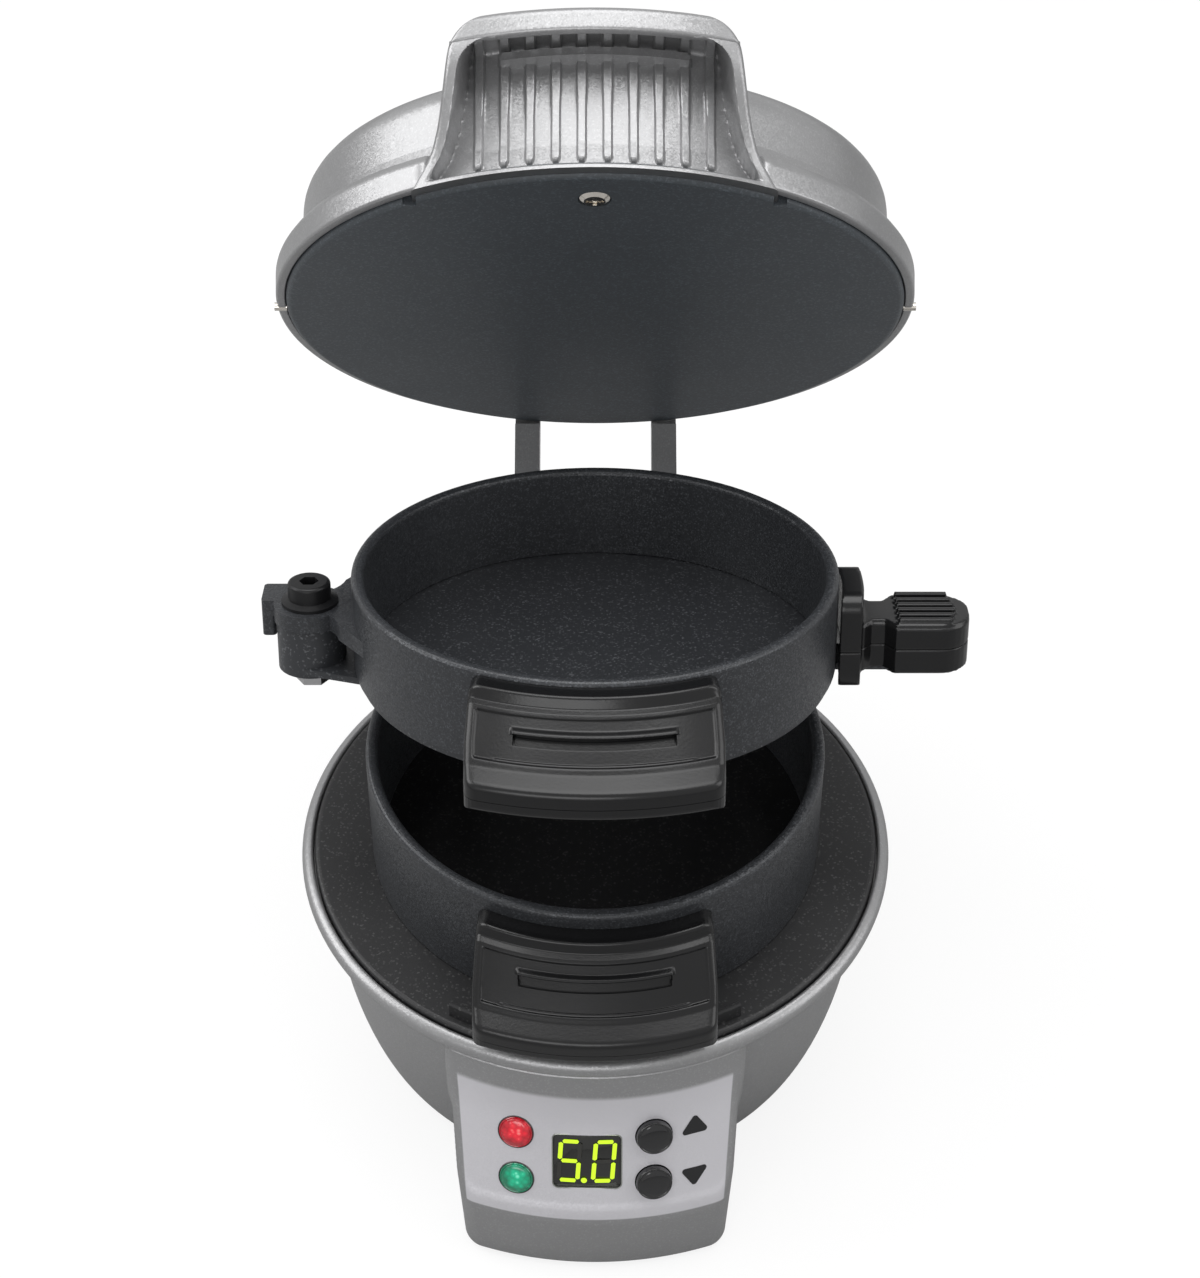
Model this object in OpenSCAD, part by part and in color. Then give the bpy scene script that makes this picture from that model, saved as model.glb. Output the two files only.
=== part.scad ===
// Hinged breakfast sandwich maker: a bowl-shaped base with a heated plate and a digital timer, two stacked
// cooking rings with a swinging egg plate between them, and a heated domed lid. All four share one rear pin.
// Millimetres, +Z up, front at -Y, origin on the table under the middle of the base.

/* [Rest position] */
// How far the upper ring is lifted, in degrees
ring_open = 16.5; // [2:0.5:20]
// How far the lid is opened, in degrees
lid_open = 61; // [40:0.5:75]

/* [Base] */
// Height of the lower plate's face above the table
plate_z = 62; // [56:0.5:68]
// Radius of the bowl where it stands
base_foot_r = 54.8; // [50:0.2:57]
// Radius of the bowl below its rim
neck_r = 66; // [64:0.25:68]
// Radius of the rim that runs round the lower plate
base_rim_r = 72.5; // [71:0.25:75]
// Wall of the housing
base_wall = 2.4; // [1.8:0.1:3]
// Width of the nose that carries the controls
nose_w = 69; // [64:0.5:72]
// Radius of the nose's rounded front
nose_r = 86; // [83:0.5:90]
// Radius of the nose's upright edges
nose_edge_r = 5; // [3:0.25:7]
// Lean of the control panel from upright, in degrees
panel_tilt = 22; // [18:0.5:26]
// Width of the hinge tower at the back
tower_w = 64; // [62:0.5:70]
// Height of the rubber feet
foot_h = 3; // [2:0.25:4]

/* [Controls] */
// Diameter of the two round keys
key_d = 8.6; // [7.5:0.1:9.5]
// How far a key stands out of the panel
key_stand = 1.6; // [1.3:0.1:2.5]
// How far a key can be pressed
key_travel = 1; // [0.6:0.1:1.2]
// Diameter of the two lamp lenses
lens_d = 8.2; // [7:0.1:9.5]
// Width of the display window
window_w = 16; // [14:0.25:17]
// Height of the display window
window_h = 14.4; // [12:0.2:16]

/* [Plates and rings] */
// Radius of the lower heated plate
plate_r = 69.4; // [68:0.1:69.5]
// Thickness of both heated plates
plate_t = 3.5; // [3:0.1:4.5]
// Height of the curb at the front of the lower plate
curb_h = 4; // [2:0.25:5]
// Width of the curb
curb_w = 68; // [60:0.5:72]
// Outer radius of the lower ring
low_ring_r = 55; // [53:0.25:55.5]
// Height of the lower ring
low_ring_h = 32; // [28:0.5:34]
// Outer radius of the upper ring
top_ring_r = 56.5; // [55:0.25:57]
// Height of the upper ring
top_ring_h = 22.5; // [21:0.25:26]
// Wall of both rings
ring_wall = 3; // [2.5:0.1:3.5]
// Thickness of the egg plate
egg_t = 1.6; // [1.2:0.1:2]

/* [Egg plate swing] */
// Radius of the lug that turns on the pivot screw
lug_r = 8; // [7.5:0.25:8.5]
// Gap between that lug and the ring's wall
lug_gap = 2; // [1.5:0.25:3]
// Diameter of the pivot screw
pivot_d = 4; // [3:0.25:5]
// Diameter of the pivot screw's head
pivot_head_d = 10; // [8:0.25:11]
// Height of the pivot screw's head
pivot_head_h = 5.5; // [4:0.25:6.5]
// Height of the lug that turns on the screw
lug_h = 9; // [7:0.25:10]
// Thickness of the ear over the lug
ear_t = 4; // [3:0.25:5]
// Width of the egg plate's grip
egg_grip_w = 17; // [14:0.25:20]
// Length of the egg plate's grip from its flange
egg_grip_l = 25; // [20:0.5:28]
// Number of ribs on the egg plate's grip
egg_rib_n = 6; // [4:1:7]

/* [Ring handles] */
// Width of the ring handles at their lip
handle_w = 56; // [50:0.5:60]
// Reach of the ring handles from the upper ring's wall
handle_reach = 20.5; // [18:0.5:22]
// Height of the ring handles' lip
handle_lip = 7; // [5:0.25:8]
// Height of the ring handles at the ring
handle_h = 21.5; // [20:0.25:22]
// Height of the lower ring's handle above the ring's foot
low_handle_up = 6.2; // [5:0.2:8]

/* [Lid] */
// Radius of the lid's skirt
lid_skirt_r = 76; // [75.5:0.25:76.5]
// Height of the lid's skirt
lid_skirt_h = 9; // [7:0.25:11]
// Step from the lid's skirt in to its dome
skirt_step = 6; // [5:0.25:8]
// Height of the lid's dome above its plate
dome_h = 32; // [29:0.25:33]
// Radius of the dome's shoulder
dome_shoulder = 7; // [4:0.25:10]
// Wall of the lid
lid_wall = 2.2; // [1.8:0.1:2.8]

/* [Lid handle] */
// Width of the lid handle at its lip
hood_top_w = 64; // [58:0.5:68]
// Width of the lid handle at the skirt
hood_low_w = 81; // [76:0.5:84]
// Reach of the lid handle's lip from the middle of the lid
hood_reach = 86; // [83:0.25:88]
// Height of the lid handle's top above the lid's plate
hood_h = 38; // [36:0.25:40]
// Thickness of the handle's top
hood_lip = 5.5; // [4.5:0.25:6.5]
// Thickness of the handle's side frames
hood_side = 3.6; // [3:0.1:5]
// Number of ribs under the handle
hood_rib_n = 10; // [6:1:11]
// Distance between the ribs
hood_rib_pitch = 5.6; // [4.8:0.1:6]
// Width of one rib
hood_rib_w = 2; // [1.4:0.1:2.6]

/* [Hinge] */
// Distance of the pin behind the middle
hinge_y = 77; // [75:0.25:79]
// Height of the pin above the table
hinge_z = 86; // [82:0.25:90]
// Diameter of the pin
pin_d = 5; // [4:0.25:6]
// Radius of the eyes round the pin
eye_r = 7; // [6:0.25:8]
// Width of the lower ring's middle eye
low_eye_w = 15; // [12:0.5:17]
// Width of each other eye
eye_w = 6.4; // [5:0.1:6.8]

/* [Clearances] */
// Gap between stacked parts that move
stack_gap = 0.3; // [0.2:0.05:0.5]
// Running clearance round a pin, on the radius
run_gap = 0.06; // [0.03:0.01:0.1]
// Gap round parts that slide in a hole
slide_gap = 0.2; // [0.15:0.05:0.4]
// Gap round the lid's heated plate
lid_plate_gap = 0.4; // [0.2:0.05:0.6]

/* [Hidden] */
$fn = 96;
far = 400;
eps = 0.01;

// Heights of the closed stack
low_ring_z = plate_z + stack_gap;
egg_z = low_ring_z + low_ring_h + stack_gap;
top_ring_z = egg_z + egg_t + stack_gap;
lid_z = top_ring_z + top_ring_h + stack_gap;

// Housing
rim_z = plate_z - 0.6;
neck_z = rim_z - 11.4;
flare_h = 7.5;
bulge = 0.57;
tower_z = 52;
tower_r = hinge_y + eye_r;
tower_front = 30;
house_z = foot_h - 1.8;
cover_t = 2.4;
cover_z = foot_h;
seat_z = plate_z - plate_t;
seat_r = plate_r + slide_gap;
bowl_steps = 14;
nose_low_z = 17;
nose_high_z = rim_z - 5;
nose_taper = 3;
collar_r = base_rim_r + 0.1;
collar_z = 44;
panel_y = -nose_r;
front_t = 2.6;
screw_d = 3;
boss_r = 4;
boss_spread = [40, 140, 220, 320];
boss_at = 40;
boss_h = 16;
screw_l = 12;
foot_in = 13.5;
feet_at = [[-20, foot_in - nose_r], [20, foot_in - nose_r], [-23, tower_r - foot_in], [23, tower_r - foot_in]];
ring_foot_r = 51;
ring_foot_w = 4.5;
gland_z = 20;
gland_d = 11;

// Control panel, in its own plane: x to the right, y up the slope
panel_mid_z = 34;
panel_mid_y = panel_y + (panel_mid_z - nose_low_z) * tan(panel_tilt);
row_gap = 12.4;
row_mid = 0;
lens_x = -18.6;
key_x = 13.8;
window_x = -1.9;
lens_stand = 0.9;
lens_len = 5;
collar = 1.1;
key_len = key_stand + 4.2;
board_gap = 9;
board_t = 1.6;
board_w = 58;
board_h = 28;
switch_w = 6;
display_t = 5;
frame_w = 5;

// Plates
curb_r = 67;
curb_t = 1.6;
curb_deg = 2 * asin(curb_w / 2 / curb_r);
plate_boss_deg = [30, 150, 270];
plate_boss_r = 54;
plate_boss_h = 8;
shield_z = seat_z - plate_boss_h;
shield_r = 60;
shield_t = 0.8;
shield_lip = 2.5;
thermostat_d = 17;
fuse_y = -22;

// Rings and their handles
handle_out = top_ring_r + handle_reach;
handle_seam = 3;
handle_core = 2.6;
handle_corner = 4;
handle_frame = 2;
ridge_w = 4.4;
shelf_in = ridge_w + 1;
shelf_w = 1.2;
shelf_drop = 2.7;
slope_top = handle_h - shelf_drop - 0.5;
slope_low = handle_lip + 1.8;
slope_out = handle_out - 4.5;
sunk = 0.5;
slot_w = 35;
slot_t = 2.4;
slot_at = 5;
slot_depth = 1.6;
handle_taper = 3;
low_handle_z = low_ring_z + low_handle_up;
ring_rim = 1.2;
mount_x = 14;
mount_out = 5.5;
mount_w = 8;
mount_t = 2.5;
mount_head_d = 6.2;
mount_head_h = 1.5;
mount_screw_l = 10;

// Pivot of the egg plate
pivot_r = top_ring_r + lug_r + lug_gap;
pivot_nut_h = 3.2;
pivot_washer_t = 0.8;
lug_foot = egg_z - 0.9;
ear_z = lug_h + stack_gap;
tab_w = 3.2;
tab_drop = 5;
flange_t = 5;
flange_w = 20;
flange_up = 19;
flange_down = 5;
flange_x = top_ring_r + 0.8;
grip_up = 12;
grip_down = -1;
grip_neck_w = 11;
egg_seam = 5;
tongue_w = 10;
web_x = 38;
web_r = 17;
tab_l = 9;
tab_arm = 8;
tongue_l = 16;
egg_screw_d = 2.5;
egg_screw_at = [7.5, 13.5];
egg_disc_r = top_ring_r - 0.9;
egg_swing = 105;
nub_w = 4;
nub_l = 2.6;
nub_deg = 192 + egg_swing;

// Eyes on the pin, from the middle outwards
lane_gap = 0.4;
top_eye_x = low_eye_w / 2 + lane_gap;
lid_eye_x = top_eye_x + eye_w + lane_gap;
base_eye_x = lid_eye_x + eye_w + lane_gap;
pin_len = 2 * (base_eye_x + eye_w) + 5;
clip_t = 1;
clip_r = pin_d / 2 + 1.8;

// Lid
dome_r = lid_skirt_r - skirt_step;
lid_plate_r = lid_skirt_r - lid_wall - lid_plate_gap;
hood_wall_r = dome_r + 1.5;
hood_rib_h = 1.5;
hood_flare = hood_low_w / 2 - hood_top_w / 2;
hood_band_h = 7;
crown = 1.6;
reflector_z = 13;
heater_r = 44;
heater_d = 6.5;
heater_gap_deg = 34;
terminal_deg = heater_gap_deg / 2 + 6;
reflector_r = heater_r + 7;
reflector_slope = 4;
lid_screw_r = dome_r - 7.5;
lid_post_r = 3.6;
lid_post_deg = [270, 40, 140];
lid_screw_l = 12;
side_pin_x = lid_plate_r + 0.1;
side_pin_z = 1.9;
side_pin_d = 2;
side_pin_l = 3;
arm_foot_z = 5;
arm_rise = 22;
arm_screw_d = 2.5;
arm_screw_l = 12;

// Points along an arc
function arc(cx, cy, r, a0, a1, n) = [for (i = [0:n]) let (a = a0 + (a1 - a0) * i / n)
    [cx + r * cos(a), cy + r * sin(a)]];

// Radius of the bowl's outside at a height
function bowl_r(z) = base_foot_r + (neck_r - base_foot_r) * pow(sin(90 * max(0, min(1, z / neck_z))), bulge);

// Half width of the lid handle at a height above the lid's plate
function hood_half(h) = hood_top_w / 2 + hood_flare * pow(1 - min(1, h / (hood_h - 4)), 2.4);

// Two round ends joined by a straight web
module link(p, pr, q, qr) {
    d = q - p;
    l = norm(d);
    a = atan2(d[1], d[0]);
    b = acos((pr - qr) / l);
    translate(p) circle(pr);
    translate(q) circle(qr);
    polygon([
        p + pr * [cos(a + b), sin(a + b)], q + qr * [cos(a + b), sin(a + b)],
        q + qr * [cos(a - b), sin(a - b)], p + pr * [cos(a - b), sin(a - b)]
    ]);
}

// A side outline drawn as [y, z] and given a width across x, from x0 to x1
module across(x0, x1) translate([x0, 0, 0]) rotate([90, 0, 90]) linear_extrude(x1 - x0) children();

// The same on both sides of the middle
module both_across(x0, x1) {
    across(x0, x1) children();
    across(-x1, -x0) children();
}

// A plan outline with rounded corners
module round_box(w, h, r) {
    difference() {
        square([w, h], center = true);
        for (sx = [-1, 1], sy = [-1, 1]) translate([sx * (w / 2), sy * (h / 2)]) difference() {
            square(2 * r, center = true);
            translate([-sx * r, -sy * r]) circle(r);
        }
    }
}

// Turn a closed-position child up about the hinge pin
module lifted(angle) {
    translate([0, hinge_y, hinge_z]) rotate([-angle, 0, 0]) translate([0, -hinge_y, -hinge_z]) children();
}

// Bore round the hinge pin
module pin_bore(r) translate([0, hinge_y, hinge_z]) rotate([0, 90, 0]) cylinder(h = far, r = r, center = true);

// Place on the control panel's face
module on_panel() translate([0, panel_mid_y, panel_mid_z]) rotate([90 - panel_tilt, 0, 0]) children();

// Outside of the bowl, drawn in by d
module bowl_outline(d) {
    low = d > 0 ? 0 : house_z;
    wall = [for (i = [0:bowl_steps]) let (z = low + (neck_z - low) * pow(i / bowl_steps, 1.6)) [bowl_r(z) - d, z]];
    inside = [[neck_r - d, seat_z - base_wall], [0, seat_z - base_wall]];
    flare = base_rim_r - 0.6 - neck_r;
    rim = concat(
        [for (i = [1:8]) let (a = 90 * i / 8) [neck_r + flare * (1 - cos(a)), neck_z + flare_h * sin(a)]],
        [[base_rim_r, neck_z + flare_h + 0.6]],
        arc(base_rim_r - 2.6, rim_z - 2.6, 2.6, 0, 90, 8),
        [[0, rim_z]]
    );
    polygon(concat([[0, low]], wall, d > 0 ? inside : rim));
}

// Plan of the nose, drawn in by d: a front arc about the middle, with rounded corners
module nose_plan(d) {
    r = nose_edge_r - d / 2;
    w = nose_w / 2 - d;
    cy = sqrt(pow(nose_r - d - r, 2) - pow(w - r, 2));
    a = atan2(w - r, cy);
    polygon(concat(
        [[w, -30], [-w, -30]],
        arc(-w + r, -cy, r, 180, 270 - a, 6),
        arc(0, 0, nose_r - d, 270 - a, 270 + a, 16),
        arc(w - r, -cy, r, 270 + a, 360, 6)
    ));
}

// Nose under the control panel, drawn in by d
module nose_solid(d) {
    intersection() {
        translate([0, 0, d > 0 ? -1 : house_z]) linear_extrude(nose_high_z - (d > 0 ? d - 1 : house_z)) nose_plan(d);
        rotate([90, 0, 0]) linear_extrude(far) {
            w = nose_w / 2 - d;
            polygon([[-w, nose_high_z], [w, nose_high_z], [w - nose_taper, 0], [-w + nose_taper, 0]]);
        }
        on_panel() translate([-far / 2, -far / 2, -far - (d > 0 ? front_t : 0)]) cube([far, far, far]);
    }
}

// Round collar that runs from the control panel up to the rim
module nose_collar() intersection() {
    translate([0, 0, collar_z]) cylinder(h = neck_z + flare_h - collar_z, r = collar_r);
    translate([-nose_w / 2, -far, 0]) cube([nose_w, far - neck_r / 2, far]);
}

// Tower at the back that carries the hinge cheeks, drawn in by d
module tower_solid(d) {
    intersection() {
        translate([0, 0, d > 0 ? 0 : house_z]) cylinder(h = tower_z - (d > 0 ? d : house_z), r = tower_r - d);
        translate([-tower_w / 2 + d, tower_front, 0]) cube([tower_w - 2 * d, far, far]);
    }
}

module cheek_outline() {
    difference() {
        union() {
            link([hinge_y, hinge_z], eye_r, [hinge_y - 0.5, tower_z], eye_r + 0.5);
            translate([hinge_y - 8, tower_z - 6]) square([15, 6]);
        }
        translate([hinge_y, hinge_z]) circle(pin_d / 2);
    }
}

module base_housing() color("silver") {
    difference() {
        union() {
            rotate_extrude() bowl_outline(0);
            nose_solid(0);
            nose_collar();
            tower_solid(0);
            both_across(base_eye_x, base_eye_x + eye_w) cheek_outline();
        }
        // Hollow inside
        translate([0, 0, -eps]) rotate_extrude() bowl_outline(base_wall);
        nose_solid(base_wall);
        translate([0, 0, -eps]) tower_solid(base_wall);
        // Seat of the lower plate and the opening under it
        translate([0, 0, seat_z]) cylinder(h = far, r = seat_r);
        translate([0, 0, seat_z - base_wall - 1]) cylinder(h = base_wall + 2, r = plate_r - 5);
        panel_holes();
        // Step that the bottom cover seats against
        translate([0, 0, -1]) linear_extrude(cover_z + cover_t + 1) floor_outline(base_wall / 2);
        // Cord hole
        translate([0, tower_r, gland_z]) rotate([90, 0, 0]) cylinder(h = 20, d = gland_d, center = true);
        pin_bore(pin_d / 2);
    }
    // Bosses for the screws of the bottom cover, each webbed to the wall
    for (a = boss_spread) rotate([0, 0, a]) difference() {
        union() {
            translate([boss_at, 0, cover_z + cover_t]) cylinder(h = boss_h, r = boss_r);
            intersection() {
                translate([boss_at, -0.9, cover_z + cover_t]) cube([far, 1.8, boss_h]);
                rotate_extrude() bowl_outline(base_wall - 0.5);
            }
        }
        translate([boss_at, 0, 0]) cylinder(h = screw_l + cover_z, d = screw_d);
    }
}

// Plan of the floor, drawn in by d
module floor_outline(d) {
    circle(bowl_r(house_z) - base_wall / 2 - d);
    intersection() {
        nose_plan(d + 0.5);
        square([nose_w - 2 * nose_taper - 2 * d - 1, far], center = true);
    }
    intersection() {
        circle(tower_r - d);
        translate([-tower_w / 2 + d, 0]) square([tower_w - 2 * d, far]);
    }
}

// The places of the lamps and keys on the panel
module each_lens() for (s = [-1, 1]) translate([lens_x, row_mid + s * row_gap / 2, 0]) children();
module each_key() for (s = [-1, 1]) translate([key_x, row_mid + s * row_gap / 2, 0]) children();

module panel_holes() on_panel() {
    each_lens() cylinder(h = 20, d = lens_d + 0.1, center = true);
    each_key() cylinder(h = 20, d = key_d + 2 * slide_gap, center = true);
    translate([window_x, row_mid, -10]) linear_extrude(20) round_box(window_w, window_h, 1.2);
}

module bottom_cover() color("dimgray") difference() {
    translate([0, 0, cover_z]) linear_extrude(cover_t) floor_outline(base_wall / 2 + slide_gap / 2);
    for (a = boss_spread) rotate([0, 0, a]) translate([boss_at, 0, 0]) {
        cylinder(h = 20, d = screw_d + 0.4);
        translate([0, 0, cover_z - 1]) cylinder(h = 2, d = 6.4);
    }
    // Vent slots
    for (i = [-3:3]) translate([i * 7, 0, 0]) linear_extrude(20) {
        round_box(2.6, 34 - abs(i) * 3, 1.25);
    }
}

// A round ring under the bowl, and pads under the nose and the tower
module rubber_feet() color("black") {
    rotate_extrude() polygon([
        [ring_foot_r - ring_foot_w, 0.6], [ring_foot_r - ring_foot_w + 0.6, 0], [ring_foot_r - 0.6, 0], [ring_foot_r, 0.6],
        [ring_foot_r, foot_h], [ring_foot_r - ring_foot_w, foot_h]
    ]);
    for (p = feet_at) translate([p[0], p[1], 0]) rotate_extrude() {
        polygon(concat([[0, 0]], arc(4.2, 0.8, 0.8, -90, 0, 4), [[5, foot_h], [0, foot_h]]));
    }
}

module cover_screws() color("gainsboro") for (a = boss_spread) rotate([0, 0, a]) {
    translate([boss_at, 0, cover_z + 1]) {
        cylinder(h = screw_l - 1, d = screw_d - 0.1);
        difference() {
            translate([0, 0, -0.9]) cylinder(h = 0.9, d = 5.8);
            cross_slot(2.8, 0.7, 0.6, -0.9);
        }
    }
}

// Cross recess of a screw head, cut upwards from z
module cross_slot(l, w, depth, z) for (t = [0, 90]) rotate([0, 0, t]) {
    translate([-l / 2, -w / 2, z - 1]) cube([l, w, depth + 1]);
}

module lower_plate() color("dimgray") {
    difference() {
        union() {
            rotate_extrude() polygon(concat(
                [[0, seat_z], [plate_r, seat_z], [plate_r, plate_z - 1.2]],
                arc(plate_r - 1.2, plate_z - 1.2, 1.2, 0, 90, 4),
                [[0, plate_z]]
            ));
            // Curb at the front
            rotate([0, 0, 270 - curb_deg / 2]) rotate_extrude(angle = curb_deg) polygon([
                [curb_r - curb_t, plate_z - 1], [curb_r, plate_z - 1], [curb_r - 0.2, plate_z + curb_h - 0.4],
                [curb_r - 0.6, plate_z + curb_h], [curb_r - curb_t + 0.4, plate_z + curb_h],
                [curb_r - curb_t, plate_z + curb_h - 0.5]
            ]);
            for (a = plate_boss_deg) rotate([0, 0, a]) translate([plate_boss_r, 0, shield_z]) {
                cylinder(h = plate_boss_h + 1, r = 4);
            }
        }
        for (a = plate_boss_deg) rotate([0, 0, a]) translate([plate_boss_r, 0, shield_z - 1]) {
            cylinder(h = plate_boss_h, d = screw_d);
        }
    }
}

module lower_plate_screws() color("gainsboro") for (a = plate_boss_deg) rotate([0, 0, a]) {
    translate([plate_boss_r, 0, shield_z - shield_t]) {
        cylinder(h = plate_boss_h - 2, d = screw_d);
        translate([0, 0, -2]) difference() {
            cylinder(h = 2, d = 5.8);
            cross_slot(3.2, 0.8, 1.1, 0);
        }
    }
}

// The places of a heater's two terminals
module each_terminal() for (s = [-1, 1]) rotate([0, 0, 90 + s * terminal_deg]) translate([heater_r, 0, 0]) children();

// Sheathed heating element, a tube bent to a ring with two ends that run down
module heater(z, drop) {
    translate([0, 0, z]) {
        rotate([0, 0, 90 + heater_gap_deg / 2]) rotate_extrude(angle = 360 - heater_gap_deg) {
            translate([heater_r, 0]) circle(d = heater_d);
        }
        each_terminal() rotate([drop < 0 ? 180 : 0, 0, 0]) {
            cylinder(h = abs(drop), d = heater_d - 1.5);
            translate([0, 0, abs(drop) - 1]) cylinder(h = 6, d = 3);
        }
    }
}

module lower_heater() color("darkgray") heater(seat_z - heater_d / 2, -7);

module lower_heat_shield() color("lightgray") difference() {
    rotate_extrude() polygon([
        [0, shield_z - shield_t], [shield_r, shield_z - shield_t], [shield_r, shield_z + shield_lip],
        [shield_r - shield_t, shield_z + shield_lip], [shield_r - shield_t, shield_z], [0, shield_z]
    ]);
    for (a = plate_boss_deg) rotate([0, 0, a]) translate([plate_boss_r, 0, 0]) cylinder(h = far, d = screw_d + 0.4);
    each_terminal() cylinder(h = far, d = heater_d + 1);
    cylinder(h = far, d = thermostat_d + 1);
    translate([0, fuse_y, 0]) cylinder(h = far, d = 7);
}

module thermostat() color("beige") {
    translate([0, 0, seat_z - 3]) cylinder(h = 3, d = thermostat_d);
    translate([0, 0, seat_z - 13]) cylinder(h = 10, d = 12.5);
    for (s = [-1, 1]) translate([s * 4 - 0.4, -3, seat_z - 19]) cube([0.8, 6, 6.5]);
}

module thermal_fuse() color("tan") translate([0, fuse_y, seat_z - 3]) {
    rotate([0, 90, 0]) cylinder(h = 11, d = 5, center = true);
    rotate([0, 90, 0]) cylinder(h = 24, d = 1.2, center = true);
    translate([-3, -2.5, 0]) cube([6, 5, 3]);
}

// Frame behind the panel that carries the board
module board_frame() color("black") intersection() {
    on_panel() difference() {
        translate([0, 0, -board_gap]) linear_extrude(board_gap - front_t) difference() {
            round_box(board_w, board_h, 2);
            square([board_w - 2 * frame_w, board_h - 2], center = true);
        }
        board_bores(2.4);
    }
    nose_solid(base_wall + 0.1);
}

module board_bores(d) for (sx = [-1, 1], sy = [-1, 1]) {
    translate([sx * (board_w - frame_w) / 2, sy * (board_h / 2 - 4), -30]) cylinder(h = 30 - front_t - 1, d = d);
}

module control_board() color("darkgreen") on_panel() difference() {
    translate([0, 0, -board_gap - board_t]) linear_extrude(board_t) round_box(board_w, board_h, 2);
    board_bores(3);
}

module board_screws() color("gainsboro") on_panel() for (sx = [-1, 1], sy = [-1, 1]) {
    translate([sx * (board_w - frame_w) / 2, sy * (board_h / 2 - 4), -board_gap - board_t - 1.4]) {
        cylinder(h = 1.4, d = 4.4);
        cylinder(h = 6.5, d = 2.4);
    }
}

module key_switches() color("black") on_panel() each_key() translate([0, 0, -board_gap]) {
    linear_extrude(2.2) square(switch_w, center = true);
    cylinder(h = board_gap - key_len + key_stand - key_travel - 0.1, d = 3);
}

module display_module() color("darkslategray") on_panel() translate([window_x, row_mid, -board_gap]) {
    linear_extrude(display_t) square([window_w + 1.6, window_h + 2], center = true);
}

module display_window() color("black") on_panel() translate([window_x, row_mid, -board_gap + display_t]) {
    linear_extrude(board_gap - display_t - 0.3) round_box(window_w - 0.1, window_h - 0.1, 1.15);
}

// Domed lamp lens with a collar behind the panel and a light pipe to the board
module lens() {
    rotate_extrude() polygon(concat(
        [[0, -board_gap], [1.5, -board_gap], [1.5, -lens_len], [lens_d / 2 + collar, -lens_len],
         [lens_d / 2 + collar, -front_t], [lens_d / 2, -front_t], [lens_d / 2, lens_stand - 0.6]],
        [for (i = [1:6]) let (a = 15 * i) [lens_d / 2 * cos(a), lens_stand - 0.6 + 0.9 * sin(a)]]
    ));
}

module power_lens() color("red") on_panel() translate([lens_x, row_mid + row_gap / 2, 0]) lens();
module preheat_lens() color("green") on_panel() translate([lens_x, row_mid - row_gap / 2, 0]) lens();

// Round key with a dished top and a collar that holds it behind the panel
module key() {
    back = -front_t - slide_gap;
    rotate_extrude() polygon(concat(
        [[0, key_stand - key_len], [key_d / 2 + collar, key_stand - key_len], [key_d / 2 + collar, back],
         [key_d / 2, back], [key_d / 2, key_stand - 0.6]],
        arc(key_d / 2 - 0.6, key_stand - 0.6, 0.6, 15, 90, 4),
        [[key_d / 2 - 1.4, key_stand - 0.15], [key_d / 4, key_stand - 0.4], [0, key_stand - 0.5]]
    ));
}

module key_up() color("black") on_panel() translate([key_x, row_mid + row_gap / 2, 0]) key();
module key_down() color("black") on_panel() translate([key_x, row_mid - row_gap / 2, 0]) key();

module cord_gland() color("black") translate([0, tower_r - base_wall - 2, gland_z]) rotate([-90, 0, 0]) {
    rotate_extrude() polygon([
        [3.4, -2], [gland_d / 2 + 2, -2], [gland_d / 2 + 2, 1.4], [gland_d / 2 - 0.1, 1.4], [gland_d / 2 - 0.1, 5],
        [gland_d / 2 + 1.4, 5], [gland_d / 2 + 1.4, 6.4], [4.6, 7.6], [3.4, 7.6]
    ]);
}

module hinge_pin() color("lightgray") translate([0, hinge_y, hinge_z]) rotate([0, 90, 0]) {
    difference() {
        cylinder(h = pin_len, d = pin_d, center = true);
        for (s = [-1, 1]) translate([0, 0, s * (pin_len / 2 - 1.6)]) difference() {
            cylinder(h = clip_t, r = pin_d, center = true);
            cylinder(h = 2 * clip_t, r = pin_d / 2 - 0.4, center = true);
        }
    }
}

module pin_clips() color("dimgray") for (s = [-1, 1]) {
    translate([s * (pin_len / 2 - 1.6), hinge_y, hinge_z]) rotate([0, 90, 0]) difference() {
        cylinder(h = clip_t - 0.05, r = clip_r, center = true);
        cylinder(h = far, r = pin_d / 2 - 0.4, center = true);
        translate([0, -2 * clip_r, 0]) cube([1.8, 4 * clip_r, 10], center = true);
    }
}

// Ring wall with a rounded rim, drawn as [r, z] from z0
module ring_wall_outline(r, z0, h) {
    polygon(concat(
        [[r - ring_wall, z0], [r, z0]],
        arc(r - ring_rim, z0 + h - ring_rim, ring_rim, 0, 90, 4),
        arc(r - ring_wall + ring_rim, z0 + h - ring_rim, ring_rim, 90, 180, 4)
    ));
}

// Arm from a ring's rear wall to its eye on the pin
module ring_arm(r, z0, h) {
    difference() {
        union() {
            link([hinge_y, hinge_z], eye_r, [r + 1.5, z0 + h / 2], min(eye_r, h / 2 - 1));
            translate([r - 1.6, z0 + 2]) square([3, h - 4]);
        }
        translate([r - 21.5, 0]) square([20, far]);
    }
}

// The places of a ring handle's two screws
module each_mount(r) for (s = [-1, 1]) translate([s * mount_x, -r - mount_out]) children();

// Lugs on a ring's front wall that its handle is screwed to
module handle_lugs(r, z) translate([0, 0, z + handle_seam]) linear_extrude(mount_t) difference() {
    each_mount(r) {
        circle(d = mount_w);
        translate([-mount_w / 2, 0]) square([mount_w, 12]);
    }
    circle(r - ring_wall / 2);
    each_mount(r) circle(d = screw_d + 0.2);
}

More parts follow.
